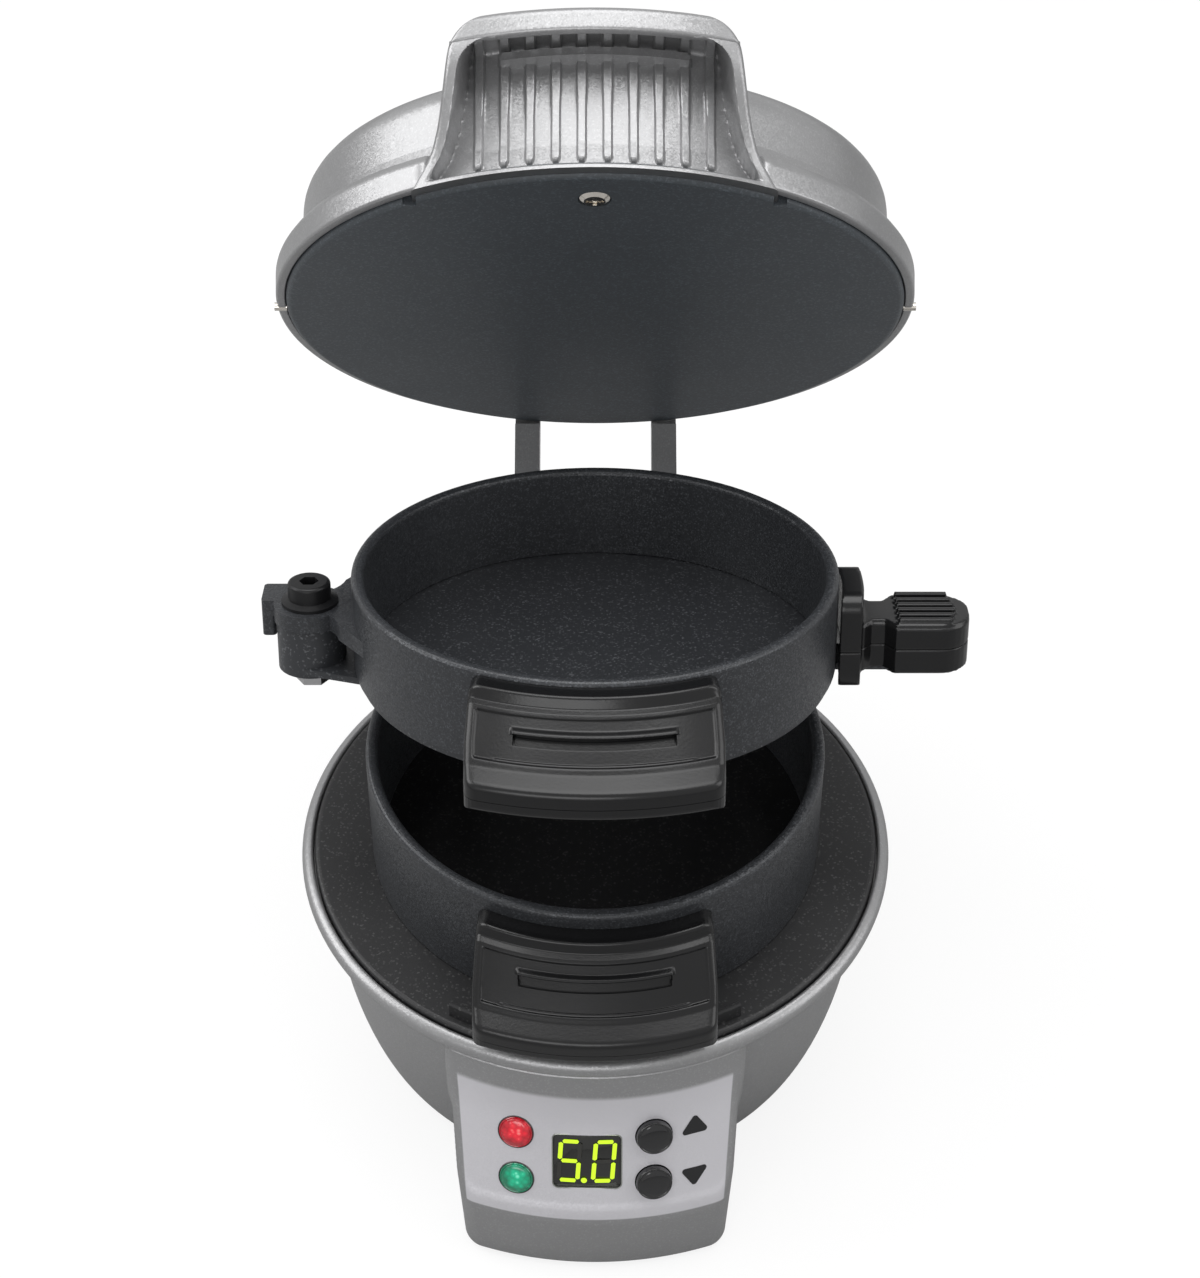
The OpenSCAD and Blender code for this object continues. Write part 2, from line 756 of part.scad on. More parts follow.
module lower_ring() color("dimgray") difference() {
    union() {
        rotate_extrude() ring_wall_outline(low_ring_r, low_ring_z, low_ring_h);
        across(-low_eye_w / 2, low_eye_w / 2) ring_arm(low_ring_r, low_ring_z + 6, low_ring_h - 6);
        handle_lugs(low_ring_r, low_handle_z);
    }
    pin_bore(pin_d / 2 + run_gap);
}

// Side outline of a ring handle, drawn as [r, z] from the ring's foot; r0 is the ring's wall
module handle_profile(r0) polygon(concat(
    [[r0, handle_seam], [r0, handle_h]],
    arc(r0 + ridge_w - 0.9, handle_h - 0.9, 0.9, 90, 25, 3),
    // Narrow shelf below the ridge
    [[r0 + shelf_in, handle_h - shelf_drop], [r0 + shelf_in + shelf_w, slope_top]],
    [[slope_out, slope_low]],
    arc(handle_out - 2, handle_lip - 1.6, 2, 60, 0, 4),
    [[handle_out, handle_seam]]
));

// Revolve of an outline that lies along a handle's slope, from the shelf outwards
module on_slope(r0) {
    top = r0 + shelf_in + shelf_w;
    rotate_extrude() translate([top, slope_top]) rotate([0, 0, -atan2(slope_top - slope_low, slope_out - top)]) {
        children();
    }
}

// Fan-shaped plan of a ring handle, with rounded corners at its lip
module handle_plan(d) {
    r = handle_corner;
    w = handle_w / 2 - d;
    cy = sqrt(pow(handle_out - r, 2) - pow(w - r, 2));
    a = atan2(w - r, cy);
    back = [w - handle_taper, -low_ring_r + 20];
    polygon(concat(
        [back, [-back[0], back[1]]],
        arc(-w + r, -cy, r, 180, 270 - a, 5),
        [[-w / 2, -handle_out - 6], [w / 2, -handle_out - 6]],
        arc(w - r, -cy, r, 270 + a, 360, 5)
    ));
}

// Part of a revolve that lies within a handle's width
module handle_cut(d) intersection() {
    children();
    translate([0, 0, -far / 2]) linear_extrude(far) handle_plan(d);
    translate([-far / 2, -far, -far / 2]) cube([far, far - 30, far]);
}

module handle_top(r0, z) translate([0, 0, z]) difference() {
    union() {
        difference() {
            handle_cut(0) rotate_extrude() handle_profile(r0);
            // Hollow inside
            handle_cut(handle_core) rotate_extrude() {
                polygon([[r0 - 1, handle_seam - 1], [r0 - 1, handle_h - 5.5], [r0 + 2.6, handle_h - 5.5],
                         [handle_out - 6.5, handle_lip - 1], [handle_out - handle_core, handle_seam + 0.6],
                         [handle_out - handle_core, handle_seam - 1]]);
            }
        }
        // Bosses over the ring's lugs
        translate([0, 0, handle_seam + mount_t]) each_mount(r0) cylinder(h = handle_h - 11.5, d = mount_w - 2);
    }
    each_mount(r0) cylinder(h = mount_head_h + mount_screw_l + 1, d = screw_d);
    // Framed panel sunk into the slope, and a slot in it
    long = norm([slope_top - slope_low, slope_out - r0 - shelf_in - shelf_w]);
    handle_cut(handle_frame) on_slope(r0) translate([0.6, -sunk]) square([long - 1.6, 3]);
    intersection() {
        on_slope(r0) translate([slot_at, -slot_depth]) square([slot_t, 3]);
        translate([-slot_w / 2, -far, 0]) cube([slot_w, far, far]);
    }
}

module handle_underside(r0, z) translate([0, 0, z]) difference() {
    handle_cut(0) rotate_extrude() polygon(concat(
        [[r0, 0.2], [r0, handle_seam], [handle_out, handle_seam]],
        arc(handle_out - 1.4, 1.6, 1.4, 0, -80, 4)
    ));
    each_mount(r0) cylinder(h = handle_seam + 1, d = screw_d + 0.2);
    each_mount(r0) cylinder(h = 0.2 + mount_head_h, d = mount_head_d);
}

// Screws that run up through the underside and the ring's lugs
module handle_screws(r0, z) translate([0, 0, z + 0.2 + mount_head_h]) each_mount(r0) {
    cylinder(h = mount_screw_l, d = screw_d);
    translate([0, 0, -1.3]) difference() {
        cylinder(h = 1.3, d = mount_head_d - 0.4);
        cross_slot(3, 0.8, 0.8, 0);
    }
}

module lower_handle_top() color("black") handle_top(low_ring_r, low_handle_z);
module lower_handle_underside() color("black") handle_underside(low_ring_r, low_handle_z);
module lower_handle_screws() color("gainsboro") handle_screws(low_ring_r, low_handle_z);

module upper_handle_top() color("black") lifted(ring_open) handle_top(top_ring_r, top_ring_z);
module upper_handle_underside() color("black") lifted(ring_open) handle_underside(top_ring_r, top_ring_z);
module upper_handle_screws() color("gainsboro") lifted(ring_open) handle_screws(top_ring_r, top_ring_z);

// Ear on the left of the upper ring that the egg plate's pivot screw passes
module ear() {
    translate([0, 0, top_ring_z + ear_z]) linear_extrude(ear_t) difference() {
        union() {
            translate([-pivot_r, 0]) circle(lug_r + 0.5);
            polygon(concat(
                arc(-pivot_r - 1, 13, 8.6, -70, -10, 6),
                [[-50, 24], [-50, -24]],
                arc(-pivot_r - 1, -13, 8.6, 10, 70, 6)
            ));
        }
        circle(top_ring_r - 1.5);
    }
    // Stop tab at the far end
    translate([-pivot_r - lug_r - tab_w / 2 - stack_gap, 5, top_ring_z + ear_z - tab_drop]) {
        linear_extrude(tab_drop + ear_t) round_box(tab_w, tab_l, 1);
    }
    translate([-pivot_r - lug_r - tab_w / 2, (10 - tab_l) / 2, top_ring_z + ear_z]) linear_extrude(ear_t) {
        square([tab_arm, tab_l]);
    }
}

module upper_ring() color("dimgray") lifted(ring_open) difference() {
    union() {
        rotate_extrude() ring_wall_outline(top_ring_r, top_ring_z, top_ring_h);
        both_across(top_eye_x, top_eye_x + eye_w) ring_arm(top_ring_r - 1.2, top_ring_z + 2, top_ring_h - 2);
        ear();
        handle_lugs(top_ring_r, top_ring_z);
    }
    pin_bore(pin_d / 2 + run_gap);
    translate([-pivot_r, 0, top_ring_z]) cylinder(h = far, d = pivot_d);
}

module pivot_screw() color("black") lifted(ring_open) translate([-pivot_r, 0, 0]) {
    head_z = top_ring_z + ear_z + ear_t;
    foot_z = lug_foot - pivot_washer_t - pivot_nut_h - 0.6;
    translate([0, 0, foot_z]) cylinder(h = head_z - foot_z, d = pivot_d);
    difference() {
        translate([0, 0, head_z]) rotate_extrude() polygon(concat(
            [[0, 0], [pivot_head_d / 2 + 1.6, 0], [pivot_head_d / 2 + 1.6, 0.8], [pivot_head_d / 2, 1.4]],
            arc(pivot_head_d / 2 - 0.8, pivot_head_h - 0.8, 0.8, 0, 90, 4), [[0, pivot_head_h]]
        ));
        translate([0, 0, head_z + pivot_head_h - 3]) cylinder(h = 4, d = 4.6, $fn = 6);
    }
}

module pivot_washer() color("silver") lifted(ring_open) translate([-pivot_r, 0, lug_foot - pivot_washer_t - 0.1]) {
    difference() {
        cylinder(h = pivot_washer_t, d = 10);
        translate([0, 0, -1]) cylinder(h = 4, d = pivot_d);
    }
}

module pivot_nut() color("silver") lifted(ring_open) {
    translate([-pivot_r, 0, lug_foot - pivot_washer_t - 0.1 - pivot_nut_h]) difference() {
        cylinder(h = pivot_nut_h, d = 8.1, $fn = 6);
        translate([0, 0, -1]) cylinder(h = 8, d = pivot_d);
    }
}

module egg_plate() color("slategray") lifted(ring_open) difference() {
    union() {
        translate([0, 0, egg_z]) cylinder(h = egg_t, r = egg_disc_r);
        // Web to the pivot lug
        translate([0, 0, egg_z]) linear_extrude(egg_t) link([-pivot_r, 0], lug_r, [-web_x, 0], web_r);
        translate([-pivot_r, 0, lug_foot]) cylinder(h = top_ring_z + lug_h - lug_foot, r = lug_r);
        // Nub that meets the stop tab at the end of the swing
        translate([-pivot_r, 0, top_ring_z + lug_h - 4]) rotate([0, 0, nub_deg]) {
            translate([lug_r - 2, -nub_w / 2, 0]) cube([2 + nub_l, nub_w, 4]);
        }
        // Tongue into the handle
        translate([egg_disc_r - 8, -tongue_w / 2, egg_z]) cube([flange_x - egg_disc_r + 8 + tongue_l, tongue_w, egg_t]);
    }
    translate([-pivot_r, 0, 0]) cylinder(h = far, r = pivot_d / 2 + run_gap);
    // The lug clears the ring's wall
    translate([0, 0, top_ring_z - stack_gap]) cylinder(h = far, r = top_ring_r + stack_gap);
    egg_screw_bores();
}

// Bores of the egg handle's screws
module egg_screw_bores() for (x = egg_screw_at) translate([flange_x + x, 0, 0]) cylinder(h = far, d = egg_screw_d);

// Plan of the egg plate's grip with its narrow neck
module grip_plan(d) {
    x0 = flange_x + flange_t;
    x1 = flange_x + egg_grip_l + flange_t;
    w = egg_grip_w / 2 - d;
    n = grip_neck_w / 2 - d;
    polygon(concat(
        [[x0 - 1, -n - 2], [x0, -n - 2], [x0 + 2, -n], [x0 + 5, -n], [x0 + 7.5, -w]],
        arc(x1 - 7, -w + 7, 7, -90, -10, 6),
        arc(x1 - 7, w - 7, 7, 10, 90, 6),
        [[x0 + 7.5, w], [x0 + 5, n], [x0 + 2, n], [x0, n + 2], [x0 - 1, n + 2]]
    ));
}

module egg_handle_top() color("black") lifted(ring_open) translate([0, 0, top_ring_z]) difference() {
    union() {
        translate([0, 0, egg_seam]) linear_extrude(grip_up - 1.6 - egg_seam) grip_plan(0);
        translate([0, 0, grip_up - 1.6]) linear_extrude(0.8) grip_plan(0.6);
        // Ribs across the grip's top
        for (i = [0:egg_rib_n - 1]) {
            y = (i - (egg_rib_n - 1) / 2) * (egg_grip_w - 4) / (egg_rib_n - 1);
            translate([flange_x + flange_t + 8, y - 0.7, grip_up - 1]) {
                cube([egg_grip_l - 11 - abs(y) * 0.25, 1.4, 1.4]);
            }
        }
        // Flange that stands beside the ring
        flange(egg_seam, flange_up);
    }
    translate([flange_x + egg_screw_at[1], 0, -1]) cylinder(h = egg_seam + 4, d = egg_screw_d);
}

// Part of the upright flange between two heights
module flange(z0, z1) intersection() {
    rotate_extrude() translate([flange_x, z0]) square([flange_t, z1 - z0]);
    translate([0, 0, (flange_up - flange_down) / 2]) rotate([0, 90, 0]) linear_extrude(far) {
        round_box(flange_up + flange_down, flange_w, 4);
    }
}

module egg_handle_underside() color("black") lifted(ring_open) difference() {
    translate([0, 0, top_ring_z]) union() {
        translate([0, 0, grip_down]) linear_extrude(egg_seam - grip_down) grip_plan(0);
        translate([0, 0, grip_down - 1.4]) linear_extrude(1.4) grip_plan(2.2);
        flange(-flange_down, egg_seam);
    }
    translate([0, -tongue_w / 2, egg_z]) cube([flange_x + tongue_l, tongue_w, egg_t]);
    egg_screw_bores();
}

module egg_handle_screws() color("gainsboro") lifted(ring_open) for (i = [0, 1]) {
    translate([flange_x + egg_screw_at[i], 0, top_ring_z + grip_down - 1.2]) {
        cylinder(h = egg_seam - grip_down + 1 + 2.8 * i, d = egg_screw_d);
    }
}

// Profile of the lid shell, drawn in by d, as [r, z] above the lid's plate
module lid_outline(d) {
    polygon(concat(
        [[0, d > 0 ? -1 : 0.6], [lid_skirt_r - d, d > 0 ? -1 : 0.6]],
        d > 0 ? [[lid_skirt_r - d, lid_skirt_h - d]] : concat(
            [[lid_skirt_r - 0.4, 3]],
            arc(lid_skirt_r - 2.6, lid_skirt_h - 2.2, 2.2, 0, 80, 5),
            arc(dome_r + 2, lid_skirt_h + 2.4, 2, 262, 186, 5)
        ),
        [[dome_r - d, lid_skirt_h + (d > 0 ? -d : 4)]],
        arc(dome_r - dome_shoulder, dome_h - dome_shoulder - crown, dome_shoulder - d, 4, 82, 8),
        [for (i = [1:4]) let (t = 1 - i / 4) [(dome_r - dome_shoulder) * t, dome_h - crown - d + crown * (1 - t * t)]]
    ));
}

// The lid is drawn with its plate's face at zero and turned into place
module on_lid() lifted(lid_open) translate([0, 0, lid_z]) children();

// Front view of the lid handle, drawn in by d, up to the height top
module hood_front(d, top, round_r) {
    steps = 14;
    low = -1;
    right = [for (i = [0:steps]) let (z = low + (top - round_r - low) * i / steps) [hood_half(max(z, 0)) - d, z]];
    polygon(concat(
        right,
        arc(hood_half(top) - d - round_r, top - round_r, round_r, 0, 90, 6),
        arc(-hood_half(top) + d + round_r, top - round_r, round_r, 90, 180, 6),
        [for (i = [0:steps]) let (p = right[steps - i]) [-p[0], p[1]]]
    ));
}

// Extrude a front view towards the front
module forward() rotate([90, 0, 0]) linear_extrude(far) children();

// Front edge of the lid handle from the side, as [y, z], drawn in by d
function hood_edge(d) = concat(
    [[-lid_skirt_r - 0.8 + d, 0.2]],
    [for (i = [1:10]) let (t = i / 10) [-lid_skirt_r - 0.8 - (hood_reach - lid_skirt_r - 0.8) * pow(t, 1.7) + d,
        0.2 + (hood_h - hood_lip + 0.5) * t]],
    arc(-hood_reach + 2.2 + d, hood_h - 2.4, 2.2, 180, 95, 5)
);

// Wall and underside that carry the ribs, from the side; rise is how far the ribs stand
function hood_pocket(rise) = concat(
    [[-far, -2], [-hood_wall_r - rise, -2]],
    arc(-hood_wall_r - rise - 5, hood_h - hood_lip - rise - 5, 5, 0, 90, 6),
    [[-far, hood_h - hood_lip - rise]]
);

module lid_handle() color("silver") on_lid() difference() {
    union() {
        difference() {
            intersection() {
                forward() hood_front(0, hood_h, 8);
                across(-hood_low_w, hood_low_w) polygon(concat(
                    [[-dome_r + 8, 0.2]],
                    hood_edge(0),
                    [[-dome_r + 8, hood_h - 2.2], [-dome_r + 16, dome_h - 1]]
                ));
            }
            // Pocket behind the side frames
            intersection() {
                translate([0, -hood_wall_r + 20, 0]) forward() hood_front(hood_side, hood_h - hood_lip, 6);
                across(-hood_low_w, hood_low_w) polygon(hood_pocket(0));
            }
        }
        // Ribs
        intersection() {
            for (i = [0:hood_rib_n - 1]) {
                x = (i - (hood_rib_n - 1) / 2) * hood_rib_pitch;
                across(x - hood_rib_w / 2, x + hood_rib_w / 2) difference() {
                    polygon(hood_pocket(-0.3));
                    polygon(hood_pocket(hood_rib_h));
                }
            }
            translate([-far / 2, -hood_reach + 4, hood_band_h]) cube([far, far, far]);
        }
        // Long bar across the top of the ribs
        translate([0, -hood_wall_r - hood_rib_h + 0.2, hood_h - hood_lip - 7]) rotate([90, 0, 0]) {
            linear_extrude(1) round_box(46, 4, 1.95);
        }
    }
    // The shell's own wall lies behind
    rotate_extrude() lid_outline(0);
    translate([0, 0, -1]) cylinder(h = 2, r = lid_skirt_r);
}

module lid_shell() color("silver") on_lid() difference() {
    union() {
        difference() {
            rotate_extrude() lid_outline(0);
            rotate_extrude() lid_outline(lid_wall);
        }
        // Posts that the plate seats on
        for (a = lid_post_deg) rotate([0, 0, a]) translate([lid_screw_r, 0, plate_t]) {
            cylinder(h = dome_h - crown - 1.5 - plate_t, r = lid_post_r);
        }
    }
    translate([0, -lid_screw_r, 0]) cylinder(h = lid_screw_l + 2, d = screw_d);
    translate([0, 0, -lid_z]) for (s = [-1, 1]) arm_screw(s, far);
    side_pins(far);
}

// Pins through the skirt that steady the plate's edge
module side_pins(l) for (s = [-1, 1]) translate([s * side_pin_x, 0, side_pin_z]) {
    rotate([0, s * 90, 0]) cylinder(h = l, d = side_pin_d);
}

module lid_plate() color("darkslategray") on_lid() difference() {
    rotate_extrude() polygon(concat(
        arc(lid_plate_r - 1.4, 1.4, 1.4, -90, 0, 5),
        [[lid_plate_r, plate_t], [0, plate_t], [0, 0]]
    ));
    // Notches beside the handle's base
    for (s = [-1, 1]) translate([s * hood_low_w / 2, -sqrt(lid_plate_r * lid_plate_r - pow(hood_low_w / 2, 2)), 0]) {
        cube([3, 4, 20], center = true);
    }
    translate([0, -lid_screw_r, 0]) cylinder(h = far, d = screw_d + 0.5, center = true);
    translate([0, -lid_screw_r, -1]) cylinder(h = 2, d = 7.4);
}

module lid_plate_screw() color("gainsboro") on_lid() translate([0, -lid_screw_r, 0]) {
    cylinder(h = lid_screw_l, d = screw_d);
    difference() {
        translate([0, 0, -0.5]) rotate_extrude() polygon([[0, 0], [2.4, 0], [3.4, 0.7], [3.5, 1.5], [0, 1.5]]);
        cross_slot(3.8, 0.9, 0.8, -0.5);
    }
}

module lid_heater() color("darkgray") on_lid() heater(plate_t + heater_d / 2, 6);

module lid_reflector() color("lightgray") on_lid() difference() {
    rotate_extrude() polygon([
        [0, reflector_z], [reflector_r, reflector_z], [reflector_r + reflector_slope, plate_t],
        [reflector_r + reflector_slope + shield_t, plate_t], [reflector_r + shield_t, reflector_z + shield_t],
        [0, reflector_z + shield_t]
    ]);
    each_terminal() cylinder(h = far, d = heater_d + 1);
}

// Arms from the pin up the back of the dome
module lid_hinge_arms() color("silver") lifted(lid_open) difference() {
    both_across(lid_eye_x, lid_eye_x + eye_w) {
        link([hinge_y, hinge_z], eye_r, [hinge_y - 1, lid_z + arm_foot_z], 6);
        polygon([[dome_r - 6, lid_z + 1], [hinge_y + 5, lid_z + arm_foot_z], [hinge_y + 3, lid_z + arm_foot_z + 6],
                 [dome_r + 1, lid_z + arm_rise], [dome_r - 6, lid_z + arm_rise]]);
    }
    pin_bore(pin_d / 2 + run_gap);
    translate([0, 0, lid_z]) rotate_extrude() lid_outline(0);
    translate([0, 0, lid_z - 1]) cylinder(h = 3, r = lid_skirt_r);
    for (s = [-1, 1]) arm_screw(s, far);
}

// Screw that holds an arm to the shell, run in from behind
module arm_screw(s, l) translate([s * (lid_eye_x + eye_w / 2), 0, lid_z + arm_foot_z + 8]) rotate([-90, 0, 0]) {
    translate([0, 0, dome_r - 4.5]) cylinder(h = l, d = arm_screw_d);
}

module lid_arm_screws() color("gainsboro") lifted(lid_open) for (s = [-1, 1]) {
    arm_screw(s, arm_screw_l);
}

module lid_side_pins() color("gainsboro") on_lid() side_pins(side_pin_l);

base_housing();
bottom_cover();
rubber_feet();
cover_screws();
lower_plate();
lower_plate_screws();
lower_heater();
lower_heat_shield();
thermostat();
thermal_fuse();
board_frame();
control_board();
board_screws();
key_switches();
display_module();
display_window();
power_lens();
preheat_lens();
key_up();
key_down();
cord_gland();
hinge_pin();
pin_clips();
lower_ring();
lower_handle_top();
lower_handle_underside();
lower_handle_screws();
upper_ring();
upper_handle_top();
upper_handle_underside();
upper_handle_screws();
pivot_screw();
pivot_washer();
pivot_nut();
egg_plate();
egg_handle_top();
egg_handle_underside();
egg_handle_screws();
lid_shell();
lid_handle();
lid_plate();
lid_plate_screw();
lid_heater();
lid_reflector();
lid_hinge_arms();
lid_arm_screws();
lid_side_pins();
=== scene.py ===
# Looks of the hinged breakfast sandwich maker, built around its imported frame
import math

import bmesh
import bpy
import numpy as np
from mathutils import Matrix, Vector


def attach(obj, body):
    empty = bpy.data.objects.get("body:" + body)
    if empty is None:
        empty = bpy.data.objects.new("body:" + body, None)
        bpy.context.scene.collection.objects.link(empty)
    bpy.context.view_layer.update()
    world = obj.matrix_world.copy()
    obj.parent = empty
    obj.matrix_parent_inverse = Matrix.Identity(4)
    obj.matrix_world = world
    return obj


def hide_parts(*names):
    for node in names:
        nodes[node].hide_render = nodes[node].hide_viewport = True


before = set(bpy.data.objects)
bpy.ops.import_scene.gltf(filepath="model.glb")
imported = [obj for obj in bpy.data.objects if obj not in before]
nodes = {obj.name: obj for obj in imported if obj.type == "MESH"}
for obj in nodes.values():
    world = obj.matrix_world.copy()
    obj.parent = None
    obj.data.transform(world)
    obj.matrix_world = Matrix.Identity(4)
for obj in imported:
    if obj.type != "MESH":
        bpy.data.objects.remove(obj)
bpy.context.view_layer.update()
scene = bpy.context.scene
MM = 0.001

# Rest position of the hinge: millimetres, degrees turned up from closed
HINGE_Y = 77.0
HINGE_Z = 86.0
RING_LIFT = 16.5
LID_LIFT = 61.0
LOW_RING_Z = 62.3
TOP_RING_Z = 96.5
LID_Z = 119.3

# Housing: millimetres above the table, and out from the upright axis through its middle
FOOT_Z = 1.2
PANEL_TILT = math.radians(22)
PANEL_Y = -79.13
PANEL_Z = 34.0
PANEL_LOW = 18.9
PANEL_HIGH = 51.5
PANEL_MARGIN = 1.75
NOSE_R = 85.3
NOSE_TOP = 56.4
NOSE_HALF = 34.5
NOSE_TAPER = 3.0
COLLAR_R = 72.6
COLLAR_LOW = 40.0
TOWER_R = 84.0
TOWER_HALF = 32.0
TOWER_TOP = 52.0

# On the panel: x from its middle line, rows of lamps and keys above and below its own middle
ROW = 6.2
LENS_X = -18.6
KEY_X = 13.8
WINDOW_X = -1.9
WINDOW = (16.0, 14.4)


def lifted(angle):
    """Turn a closed-position mesh up about the hinge pin."""
    pin = Vector((0, HINGE_Y, HINGE_Z))
    turn = Matrix.Rotation(math.radians(-angle), 4, "X")
    return Matrix.Translation(pin) @ turn @ Matrix.Translation(-pin)


LIFT = {"base": Matrix.Identity(4), "lower_ring": Matrix.Identity(4), "upper_ring": lifted(RING_LIFT),
        "egg_plate": lifted(RING_LIFT), "lid": lifted(LID_LIFT), "key_up": Matrix.Identity(4),
        "key_down": Matrix.Identity(4)}


# Shader groups

def group(name, inputs, outputs):
    tree = bpy.data.node_groups.new(name, "ShaderNodeTree")
    for label, value in inputs:
        socket = tree.interface.new_socket(name=label, in_out="INPUT", socket_type="NodeSocketFloat")
        socket.default_value = value
    for label in outputs:
        tree.interface.new_socket(name=label, in_out="OUTPUT", socket_type="NodeSocketFloat")
    return tree, tree.nodes.new("NodeGroupInput"), tree.nodes.new("NodeGroupOutput")


def math_node(tree, operation, a, b=None, c=None, clamp=False):
    made = tree.nodes.new("ShaderNodeMath")
    made.operation = operation
    made.use_clamp = clamp
    for i, value in enumerate((a, b, c)):
        if value is None:
            continue
        if isinstance(value, (int, float)):
            made.inputs[i].default_value = value
        else:
            tree.links.new(value, made.inputs[i])
    return made.outputs[0]


def flake_group():
    """Bright specks: one random value for each small cell, kept where it passes a threshold."""
    tree, given, out = group("flakes", [("Cells", 3000.0), ("Share", 0.2)], ["Mask", "Tone"])
    place = tree.nodes.new("ShaderNodeTexCoord")
    cells = tree.nodes.new("ShaderNodeTexVoronoi")
    tree.links.new(place.outputs["Object"], cells.inputs["Vector"])
    tree.links.new(given.outputs["Cells"], cells.inputs["Scale"])
    split = tree.nodes.new("ShaderNodeSeparateColor")
    tree.links.new(cells.outputs["Color"], split.inputs[0])
    edge = math_node(tree, "SUBTRACT", 1.0, given.outputs["Share"])
    over = math_node(tree, "SUBTRACT", split.outputs[0], edge)
    scaled = math_node(tree, "DIVIDE", over, given.outputs["Share"], clamp=True)
    tree.links.new(scaled, out.inputs["Mask"])
    tree.links.new(split.outputs[1], out.inputs["Tone"])
    return tree


def mottle_group():
    """Slow unevenness of a finish, from 0 to 1."""
    tree, given, out = group("mottle", [("Scale", 60.0), ("Detail", 4.0)], ["Value"])
    place = tree.nodes.new("ShaderNodeTexCoord")
    noise = tree.nodes.new("ShaderNodeTexNoise")
    tree.links.new(place.outputs["Object"], noise.inputs["Vector"])
    tree.links.new(given.outputs["Scale"], noise.inputs["Scale"])
    tree.links.new(given.outputs["Detail"], noise.inputs["Detail"])
    tree.links.new(noise.outputs["Fac"], out.inputs["Value"])
    return tree


def facet_group():
    """A surface normal tipped a little another way in each small cell, as flakes lie in a lacquer."""
    tree, given, out = group("facets", [("Cells", 3000.0), ("Tip", 0.3)], [])
    tree.interface.new_socket(name="Normal", in_out="OUTPUT", socket_type="NodeSocketVector")
    place = tree.nodes.new("ShaderNodeTexCoord")
    cells = tree.nodes.new("ShaderNodeTexVoronoi")
    tree.links.new(place.outputs["Object"], cells.inputs["Vector"])
    tree.links.new(given.outputs["Cells"], cells.inputs["Scale"])
    centred = tree.nodes.new("ShaderNodeVectorMath")
    centred.operation = "SUBTRACT"
    centred.inputs[1].default_value = (0.5, 0.5, 0.5)
    tree.links.new(cells.outputs["Color"], centred.inputs[0])
    tipped = tree.nodes.new("ShaderNodeVectorMath")
    tipped.operation = "SCALE"
    tree.links.new(centred.outputs[0], tipped.inputs[0])
    tree.links.new(given.outputs["Tip"], tipped.inputs["Scale"])
    surface = tree.nodes.new("ShaderNodeNewGeometry")
    added = tree.nodes.new("ShaderNodeVectorMath")
    tree.links.new(surface.outputs["Normal"], added.inputs[0])
    tree.links.new(tipped.outputs[0], added.inputs[1])
    unit = tree.nodes.new("ShaderNodeVectorMath")
    unit.operation = "NORMALIZE"
    tree.links.new(added.outputs[0], unit.inputs[0])
    tree.links.new(unit.outputs[0], tree.nodes["Group Output"].inputs["Normal"])
    return tree


FLAKES = flake_group()
MOTTLE = mottle_group()
FACETS = facet_group()


def use_group(tree, which, **values):
    made = tree.nodes.new("ShaderNodeGroup")
    made.node_tree = which
    for key, value in values.items():
        made.inputs[key].default_value = value
    return made


